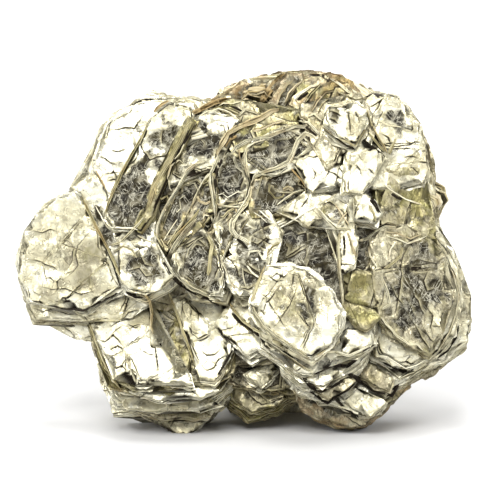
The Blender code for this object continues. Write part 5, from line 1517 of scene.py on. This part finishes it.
class Mica(Nodes):
    """The one material: pearly faces, smoky windows with pale fibres, and walls striped by their layers.

    The patterns are laid out by grain, which runs across a stack's faces and down through its sheets.
    """

    def __init__(self):
        super().__init__("mica")
        self.grain = self.attribute("grain", "Vector")
        self.wall = self.attribute("wall")
        self.tint = self.attribute("tint")
        self.brown = self.attribute("brown")
        self.crack = self.attribute("crack")
        bends = self.noise(self.grain, 0.55, output="Color")
        self.warp = self.vector("MULTIPLY", bends, (WARP_REACH, WARP_REACH, WARP_REACH))
        self.bent = self.vector("ADD", self.grain, self.warp)
        self.layered = self.grain_bent_by(1.0, 1.0, 0.08)
        self.fine_cracks = self.scaled(self.contour(self.bent, 0.30, 5.0, 0.012),
                                       self.between(self.noise(self.grain, 0.22), 0.45, 0.60))
        self.fibres = self.window_fibres()
        smoke = self.between(self.noise(self.bent, 0.28, 5.0), 0.3, 0.7, -0.38, 0.30)
        self.smoky = self.between(self.math("ADD", self.attribute("smoke"), smoke), 0.12, 0.44)

    def grain_bent_by(self, *shares):
        """The grain's coordinates, bent by shares of the full warp."""
        return self.vector("ADD", self.grain, self.vector("MULTIPLY", self.warp, shares))

    def window_fibres(self):
        """Pale threads in a window: a fine web, and fibres drawn out along a few ways."""
        web = self.contour(self.bent, 0.34, 5.0, 0.010)
        slight = self.grain_bent_by(0.3, 0.3, 0.3)
        for degrees in FIBRE_WAYS:
            fibres = self.contour(self.drawn_out(slight, degrees, FIBRE_LENGTH, FIBRE_WIDTH), 1.0, 3.0, 0.050)
            patches = self.noise(self.drawn_out(self.grain, degrees + 50.0, 3.0, 3.0), 1.0, 4.0)
            web = self.math("MAXIMUM", web, self.scaled(fibres, self.between(patches, 0.46, 0.70, 0.0, 0.80)))
        return web

    def face_colour(self):
        """Silver where the tint is low and olive where it is high, with rust, fine cracks and dark hairs."""
        cloud = self.between(self.noise(self.grain, 0.16, 4.0), 0.3, 0.7, -0.26, 0.28)
        fine = self.between(self.noise(self.bent, 0.9, 5.0), 0.3, 0.7, -0.10, 0.14)
        shade = self.math("ADD", self.math("ADD", self.tint, cloud), fine)
        stains = self.between(self.noise(self.bent, 0.30, 4.0), 0.36, 0.62)
        face = self.mix(self.scaled(self.brown, stains), self.ramp(shade, FACE_STOPS), RUST)
        face = self.mix(self.scaled(self.fine_cracks, 0.75), face, EDGE_DARK)
        hairs = self.contour(self.drawn_out(self.bent, HAIR_WAY, HAIR_LENGTH, HAIR_WIDTH), 1.0, 3.0, 0.045)
        hairs = self.scaled(hairs, self.between(self.tint, 0.30, 0.50, 0.0, 0.60))
        return self.mix(hairs, face, EDGE_DARK)

    def window_colour(self):
        """Near black with a pale haze and pale fibres."""
        murk = self.mix(self.between(self.noise(self.grain, 0.30, 3.0), 0.42, 0.62), SMOKE, MURK)
        haze = self.between(self.noise(self.bent, 0.42, 8.0), 0.49, 0.74)
        return self.mix(self.fibres, self.mix(haze, murk, ASH), VEIN)

    def wall_colour(self):
        """Stripes along the layers, from dark to pale, with green, brown and gold stains."""
        stripes = self.noise(self.vector("MULTIPLY", self.layered, (0.10, 0.10, 3.4)), 1.0, 3.0)
        layers = self.math("ADD", self.scaled(stripes, 0.70), self.scaled(self.attribute("tone"), 0.40))
        layers = self.math("ADD", layers, self.between(self.tint, 0.0, 0.35, 0.17, 0.0))
        edge = self.mix(self.scaled(self.tint, 0.55), self.ramp(layers, WALL_STOPS), EDGE_GREEN)
        edge = self.mix(self.scaled(self.brown, 0.70), edge, EDGE_GOLD)
        stains = self.between(self.noise(self.bent, 0.22, 4.0), 0.48, 0.72, 0.0, 0.45)
        return self.mix(stains, edge, EDGE_GOLD)

    def colour(self):
        """All of them by where they belong, with pale rims, painted shade below lifted edges, in grooves and
        on the dark bands, and painted shade in hollows.
        """
        face = self.mix(self.smoky, self.face_colour(), self.window_colour())
        colour = self.mix(self.wall, face, self.wall_colour())
        colour = self.mix(self.scaled(self.attribute("rim"), 0.70), colour, EDGE_CREAM)
        # painted shade below lifted edges, at the foot of each sheet's edge, at the bottom of grooves and
        # over the dark bands
        colour = self.mix(self.between(self.crack, 0.12, 0.60), colour, PAINTED_SHADE_DARK)
        # painted shade in hollows, by ambient occlusion
        painted_hollow_shade = self.add("ShaderNodeAmbientOcclusion", {"Distance": PAINTED_SHADE_REACH}, samples=6).outputs["AO"]
        return self.mix(self.between(painted_hollow_shade, 0.10, 0.62, 0.88, 0.0), colour, PAINTED_SHADE_DARK)

    def metallic(self):
        return self.scaled(self.between(self.wall, 0.0, 1.0, 0.55, 0.10),
                           self.between(self.smoky, 0.0, 1.0, 1.0, 0.20))

    def roughness(self):
        rough = self.between(self.noise(self.bent, 0.5, 3.0), 0.3, 0.7, 0.22, 0.42)
        for part, least in ((self.wall, 0.52), (self.crack, 0.8), (self.smoky, 0.42)):
            rough = self.math("MAXIMUM", rough, self.scaled(part, least))
        return rough

    def bump(self):
        """Wrinkles, raised fibres and sunk cracks on the faces, and laminae on the walls."""
        wrinkles = self.scaled(self.noise(self.bent, 1.3, 4.0), 0.8)
        height = self.math("ADD", wrinkles, self.scaled(self.fibres, 0.3))
        height = self.math("SUBTRACT", height, self.scaled(self.fine_cracks, 0.5))
        laminae = self.noise(self.vector("MULTIPLY", self.layered, (0.2, 0.2, 7.0)), 1.0)
        height = self.math("ADD", height, self.scaled(self.wall, laminae))
        inputs = {"Strength": 1.0, "Distance": BUMP_HEIGHT, "Height": height}
        return self.add("ShaderNodeBump", inputs).outputs["Normal"]


def mica_material():
    mica = Mica()
    values = {
        "Base Color": mica.colour(),
        "Metallic": mica.metallic(),
        "Roughness": mica.roughness(),
        "Normal": mica.bump(),
        "Specular IOR Level": mica.between(mica.smoky, 0.0, 1.0, 0.30, 0.12),
    }
    for name, value in values.items():
        mica.set(mica.shader.inputs[name], value)
    return mica.material


def floor_material():
    """Plain pale paper."""
    paper = Nodes("floor")
    paper.shader.inputs["Base Color"].default_value = (*FLOOR_GREY, 1.0)
    paper.shader.inputs["Roughness"].default_value = 0.9
    paper.shader.inputs["Specular IOR Level"].default_value = 0.1
    return paper.material


# ---------------------------------------------------------------- scene

def linked(name, data):
    thing = bpy.data.objects.new(name, data)
    bpy.context.scene.collection.objects.link(thing)
    return thing


def cluster():
    """The cluster's pieces, in place of the plain solid."""
    stacks = [front_stack(number, *book) for number, book in enumerate(FRONT_BOOKS, 1)]
    crystals = enumerate(ROUND_CRYSTALS, len(stacks) + 1)
    stacks += [crystal_stack(order, *crystal) for order, crystal in crystals]
    meshes = [stacks_mesh(name, [stack for stack in stacks if stack.name.startswith(starts)])
              for name, starts in PIECES]
    meshes.append(ridges_mesh("standing_sheets", surface_of(meshes)))
    mica = mica_material()
    for mesh in meshes:
        mesh.materials.append(mica)
        piece = linked(mesh.name, mesh)
        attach(piece, "root")
        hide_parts("mica_cluster")


def floor():
    bm = bmesh.new()
    bmesh.ops.create_circle(bm, cap_ends=True, segments=64, radius=FLOOR_RADIUS)
    mesh = bpy.data.meshes.new("floor")
    bm.to_mesh(mesh)
    bm.free()
    mesh.materials.append(floor_material())
    linked("floor", mesh)


def softbox(name, side, up, away, wide, high, watts):
    """A rectangular lamp that looks at the cluster from this side and height."""
    lamp = bpy.data.lights.new(name, "AREA")
    lamp.shape = "RECTANGLE"
    lamp.size, lamp.size_y, lamp.energy = wide, high, watts
    side, up = math.radians(side), math.radians(up)
    way = Vector((math.sin(side) * math.cos(up), -math.cos(side) * math.cos(up), math.sin(up)))
    thing = linked(name, lamp)
    thing.location = Vector(LAMP_AIM) + way * away
    thing.rotation_euler = (-way).to_track_quat("-Z", "Y").to_euler()


def lights():
    world = bpy.data.worlds.new("studio")
    bpy.context.scene.world = world
    world.use_nodes = True
    background = world.node_tree.nodes["Background"]
    background.inputs["Color"].default_value = (1.0, 1.0, 1.0, 1.0)
    background.inputs["Strength"].default_value = WORLD_STRENGTH
    for lamp in SOFTBOXES:
        softbox(*lamp)
    bpy.context.scene.view_settings.view_transform = "Standard"


def camera():
    """A long lens that looks down by LEAN, so that the drawing plane is seen square on."""
    lens = bpy.data.cameras.new("camera")
    lens.sensor_width = SENSOR
    lens.lens = SENSOR * CAMERA_AWAY / FRAME_WIDTH
    lens.clip_start, lens.clip_end = CLIP
    thing = linked("camera", lens)
    aim = RIGHT * FRAME_MIDDLE[0] + UP * FRAME_MIDDLE[1] + AWAY * FRAME_DEPTH
    thing.location = Vector((aim - AWAY * CAMERA_AWAY) * MM)
    thing.rotation_euler = Vector(AWAY).to_track_quat("-Z", "Y").to_euler()
    bpy.context.scene.camera = thing


cluster()
floor()
lights()
camera()
